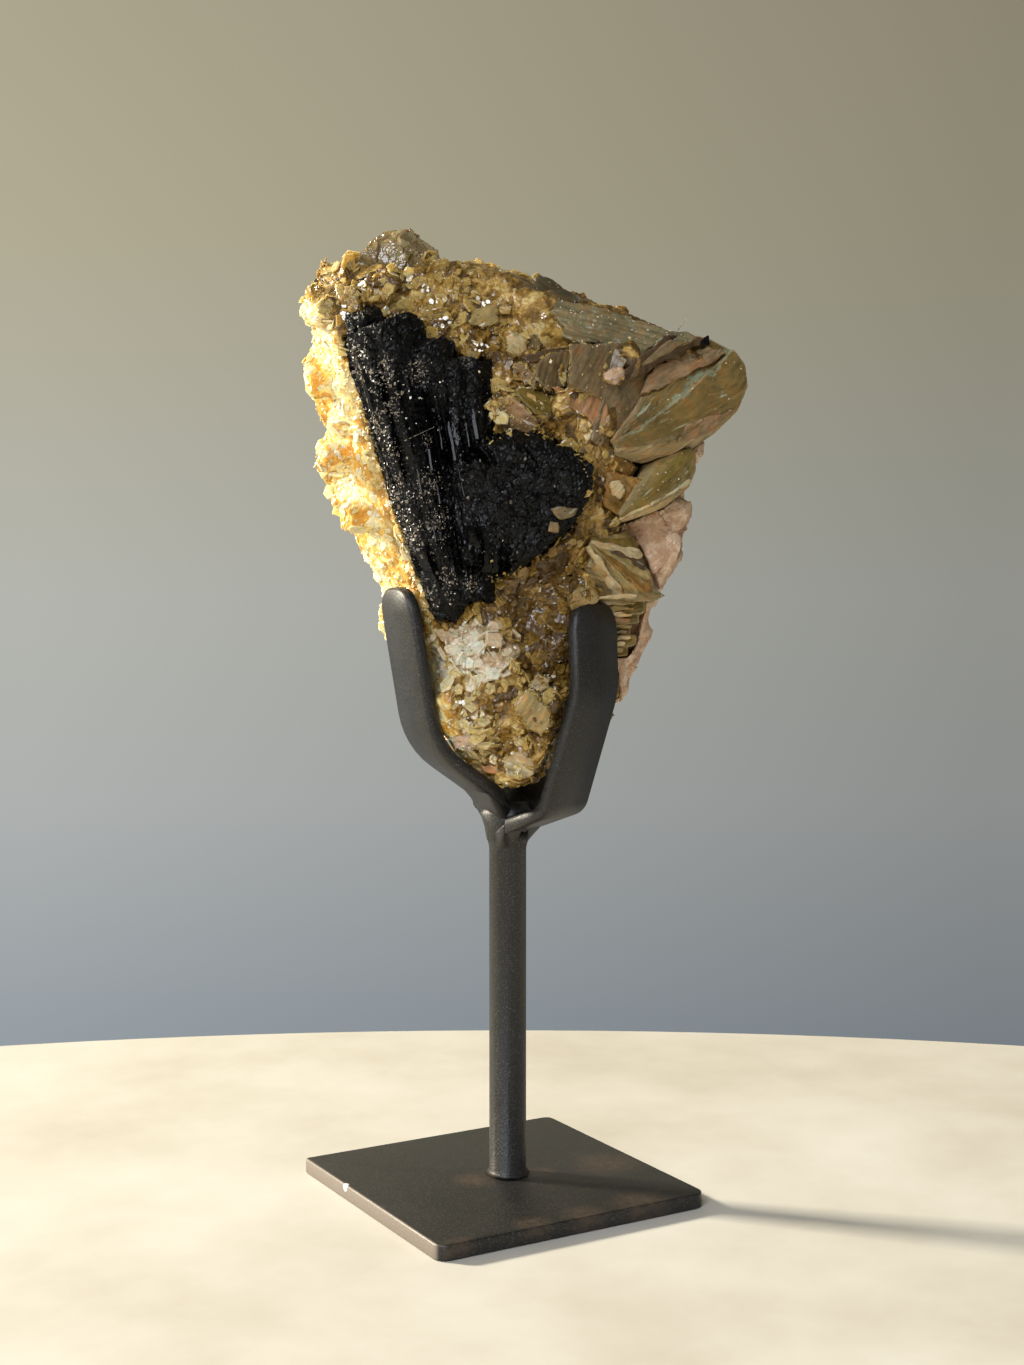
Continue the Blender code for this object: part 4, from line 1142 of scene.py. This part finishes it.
def open_sheets(piece, root, colours):
    """Draw the sheets' lines on a book's face. colours are (turn in degrees, colour) by rising turn."""
    mesh = piece.data
    normals = [vert.normal.copy() for vert in mesh.vertices]
    sheets = []
    tints = []
    for vert, normal in zip(mesh.vertices, normals):
        spot = as_seen(vert.co)
        reach = math.hypot(spot.x - root[0], spot.z - root[1])
        turn = math.degrees(math.atan2(spot.z - root[1], spot.x - root[0])) - 0.21 * reach
        turn += 3 * noise.noise(Vector((reach * 0.12, turn * 0.03, 2)))
        if spot.z < LEAVES_BELOW:
            turn = 7 * spot.z - 1.5 * spot.x
            reach = spot.x
        height = 0.34 * noise.noise(Vector((turn / 5.5, reach * 0.05, 1)))
        height += 0.18 * noise.noise(Vector((turn / 1.8, reach * 0.08, 4)))
        height += 0.30 * noise.noise(spot * 0.16)
        # On the rim and the sides each sheet ends on its own, a little further in or out.
        faces_us = -(TURN.transposed() @ normal).y
        rim = between(abs(faces_us), 0.86, 0.5)
        layers = spot.y + 0.5 * noise.noise(spot * 0.2)
        ends = 0.5 * noise.noise(Vector((layers * 1.1, turn * 0.02, 7)))
        ends += 0.3 * noise.noise(Vector((layers * 2.6, turn * 0.03, 8)))
        height += (ends - height) * rim
        vert.co += normal * height * MM
        own_sheets = Vector((turn * 0.6, reach * 0.07, spot.y * 0.5))
        sheets += own_sheets.lerp(Vector((turn * 0.05, reach * 0.07, layers * 3)), rim)[:]
        uneven = turn + 3.5 * noise.noise(spot * 0.3) + 2 * noise.noise(spot * 1.1)
        own = [colour for limit, colour in colours if uneven >= limit][-1]
        # Where the sheets end, their edges are paler than their faces.
        mixed = Vector(srgb(SHEET_COLOURS[own])).lerp(Vector(srgb(SHEET_COLOURS["cream"])), 0.55 * rim)
        tints += mixed[:]
    mesh.update()
    keep_sheets(mesh, tints, sheets)
    mesh.shade_smooth()


# Mica in a thick book, cleaved but not parted: olive brown, and half dull.
book_mica = sheet_look(
    "olive-brown mica book", {"Specular IOR Level": 0.3, **glow(0.15, (1.0, 0.7, 0.3), 1.0)}, "A9B79C", 0.035
)
# The tints of each book's sheets, each from a turn in degrees on.
UPPER_TINTS = [(-999, "rose"), (2, "olive"), (28.6, "mint"), (31.2, "olive"), (46, "rose")]
MIDDLE_TINTS = [(-999, "straw"), (20, "gold")]
LOWER_TINTS = [(-999, "straw"), (-20, "amber"), (12, "olive"), (24, "gold")]
for node, root, colours in (
    ("mica_book_upper", (23, 189), UPPER_TINTS),
    ("mica_book_middle", (25, 171.5), MIDDLE_TINTS),
    ("mica_book_lower", (17.5, 163.5), LOWER_TINTS),
):
    book = refine(node + "_sheets", node, 0.4, book_mica)
    open_sheets(book, root, colours)
    keep_skin(book)
    grow(node + "_specks", book, 300, (0.15, 0.6), (0.05, 0.1), 0.7, (0.4, 1.0), silver_mica, 47)

RIBBON = [
    (28.2, 208.6), (30.4, 211.3), (35.6, 215.6), (39.3, 219.0), (43.1, 219.2), (49.6, 218.4),
    (49.2, 217.0), (41.2, 213.4), (35.6, 210.2), (31.3, 207.2),
]
UPPER_BAND = [
    (33.4, 204.0), (35.4, 209.4), (38.4, 212.0), (45.0, 214.7), (50.6, 216.6), (55.2, 214.7),
    (52.5, 213.2), (45.9, 209.4), (40.3, 206.6),
]
THIN_RIM = [
    (28.2, 173.2), (33.0, 175.6), (40.4, 179.4), (46.1, 182.9),
    (46.4, 182.2), (40.8, 178.5), (33.6, 174.8), (28.6, 172.4),
]
lay_plates(
    "mica_book_bands",
    [
        (RIBBON, "bark", 0.9, 3.5, 38),
        ([(29.5, 209.2), (36.0, 214.6), (40.0, 217.6), (46.0, 218.0), (40.6, 214.6), (35.6, 212.2)],
         "smoke", 1.5, 3.0, 38),
        (UPPER_BAND, "rose", 0.5, 3.0, 32),
        (THIN_RIM, "cream", 0.15, 1.6, 28),
        ([(43.2, 192.4), (45.1, 196.6), (49.8, 198.2), (55.4, 200.1), (58.2, 201.2), (53.5, 197.0),
          (47.9, 193.5)], "rose", 0.4, 2.5, 30),
    ],
    book_mica,
)

# The lower book opens in a fan: one leaf behind the other, each a narrow wedge from its root.
FAN_TIPS = [
    (31.5, 168.6), (33.4, 166.2), (34.2, 163.4), (35.2, 160.6), (36.0, 157.6), (36.4, 154.4),
    (33.0, 152.8), (29.0, 152.6),
]
FAN_RIGHT = 19.5
FAN_UP = 167.5
FAN_COLOURS = ("straw", "gold", "cream", "bark", "straw", "amber", "straw", "cream")
fan_leaves = []
for index, ((tip_right, tip_up), colour) in enumerate(zip(FAN_TIPS, FAN_COLOURS)):
    long_way = Vector((tip_right - FAN_RIGHT, tip_up - FAN_UP)).normalized()
    aside = Vector((-long_way.y, long_way.x))
    root = Vector((FAN_RIGHT, FAN_UP)) + long_way * 1.5
    tip = Vector((tip_right, tip_up))
    leaf = [
        root + aside * 0.7,
        tip + aside * 1.5 - long_way * 1.4,
        tip + aside * 0.3,
        tip - aside * 1.3 - long_way * 0.8,
        root - aside * 0.8,
    ]
    angle = math.degrees(math.atan2(long_way.y, long_way.x))
    proud = 0.5 + 0.35 * (index % 3)
    fan_leaves.append(([tuple(corner) for corner in leaf], colour, proud, 1.6, angle))
lay_plates("mica_fan_leaves", fan_leaves, book_mica)

# Under it the leaves lie level, one on the other, and end unevenly.
LEAF_COLOURS = ["cream", "straw", "cream", "straw", "rose"]
LEAF_PITCH = 1.5
draw = random.Random(31)
stack_leaves = []
for step in range(10):
    top = 153.6 - LEAF_PITCH * step
    end = 34.2 - 0.42 * step + draw.uniform(-1.2, 0.6)
    leaf = [
        (23.0, top - 0.3), (29.0, top + 0.35), (end, top),
        (end - 0.6, top - 1.0), (28.0, top - 0.9), (22.5, top - 1.3),
    ]
    stack_leaves.append((leaf, draw.choice(LEAF_COLOURS), draw.uniform(0.1, 0.8), 2.0, 4))
lay_plates("mica_stack_leaves", stack_leaves, book_mica)


# PINK FELDSPAR
# Blocky potassium feldspar behind the books, grown with them: flesh pink, a little waxy, and
# broken along its cleavage into steps and blocks.

# Potassium feldspar, cleaved: pale pink and waxy.
PINK_STOPS = [(0.2, "C09B7C"), (0.4, "D9BB9D"), (0.6, "E7CFB6"), (0.8, "F2E2D0")]
pink_spar = mica_look(
    "pink potassium feldspar", PINK_STOPS, PINK_STOPS, 0.28, 0.5, glow(0.25, (1.0, 0.6, 0.45), 1.2)
)
spar = refine("feldspar_blocks", "pink_feldspar", 0.5, pink_spar)
crust(spar, [(6.5, 0.8), (2.6, 0.2), (1.2, 0.07)])
keep_skin(spar)


# QUARTZ
# Two lumps of quartz grown in the mica, with smooth broken faces: a smoky one on the crown, and
# one low in front, milky and stained, broken into splinters round its edge.

# Milky quartz is clouded and half dull. Smoky quartz is glassy, and clearer to light.
WHITE_STOPS = [(0.2, "A88C66"), (0.5, "D0B995"), (0.8, "F0E4CE")]
SMOKY_STOPS = [(0.2, "86724A"), (0.5, "AE9A6C"), (0.8, "D6C9A2")]
CLOUDED = glow(0.3, (1.0, 0.2, 0.1), 1.5)
white_quartz = mica_look(
    "milky grey quartz", WHITE_STOPS, WHITE_STOPS, 0.18, 0.42, {"Transmission Weight": 0.1, **CLOUDED}
)
smoky_quartz = mica_look(
    "smoky brown quartz", SMOKY_STOPS, SMOKY_STOPS, 0.06, 0.2, {"Transmission Weight": 0.25, **CLOUDED}
)
crown = refine("quartz_crown_broken", "quartz_crown", 0.45, smoky_quartz)
crust(crown, [(5.0, 0.8), (2.2, 0.25), (1.1, 0.06)])
keep_skin(crown)
patch = refine("quartz_patch_broken", "quartz_patch", 0.45, white_quartz)
crust(patch, [(5.0, 0.8), (2.2, 0.25), (1.1, 0.06)])
keep_skin(patch)


def in_patch(spot, looks):
    """Round the low lump the quartz is broken into splinters, with mica between them."""
    # The patch is an oval round the lump, with a small tail under it.
    out = math.hypot((spot.x + 8) / 11.5, (spot.z - 139) / 10)
    tail = math.hypot((spot.x + 10) / 4, (spot.z - 123) / 6)
    return max(between(out, 1.05, 0.75), 0.6 * between(tail, 1.0, 0.6)) * between(spot.y, 0, -5)


grow("quartz_splinters", mass, 3000, (2.0, 6.5), (0.4, 1.4), 0.4, (0.1, 0.95), white_quartz, 43, in_patch)
grow(
    "quartz_lump_splinters", patch, 150, (2.0, 6.0), (0.3, 1.0), 0.45, (0.1, 0.95), white_quartz, 46, in_patch
)


# SMALL BLACK BITS AND SLIVERS
# A chip of tourmaline at the top edge, a few specks in the quartz, and two hair-thin slivers
# of mica that have sprung away from their sheets.
lay_plates(
    "tourmaline_specks",
    [
        ([(48.5, 218.0), (50.7, 219.4), (51.5, 216.7), (48.9, 216.7)], "bark", 0.7, 2.0, 0),
        ([(-12.2, 139.3), (-10.6, 139.9), (-9.8, 139.3), (-11.2, 138.8)], "bark", 0.3, 1.0, 0),
        ([(-7.6, 138.4), (-5.0, 140.4), (-4.6, 139.9), (-6.6, 138.2)], "bark", 0.3, 1.0, 0),
        ([(-8.5, 133.3), (-7.8, 133.6), (-7.5, 132.9), (-8.2, 132.6)], "bark", 0.3, 1.0, 0),
    ],
    schorl,
)

# Slivers of mica, each a thin spike: its foot and its tip (right, up), and its radius.
SLIVERS = [
    ((42.4, 219.6), (44.9, 223.1), 0.14), ((-26.1, 192.6), (-18.9, 195.9), 0.13),
    ((52.9, 214.6), (54.0, 216.0), 0.12),
]
bm = bmesh.new()
for (right, up), (right_end, up_end), radius in SLIVERS:
    near = on_stone(right, up)[0]
    start = near - TURN @ Vector((0, radius, 0)) * MM
    end = start + TURN @ Vector((right_end - right, -0.4, up_end - up)) * MM
    lean = (end - start).to_track_quat("Z", "Y").to_matrix().to_4x4()
    bmesh.ops.create_cone(
        bm,
        cap_ends=True,
        segments=6,
        radius1=radius * MM,
        radius2=0.3 * radius * MM,
        depth=(end - start).length,
        matrix=Matrix.Translation((start + end) / 2) @ lean,
    )
slivers = hang("mica_slivers", bm, scale_mica)
keep_growth(slivers.data, [(0.6, 0.0, 0.0)] * len(slivers.data.vertices))
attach(slivers, "root")
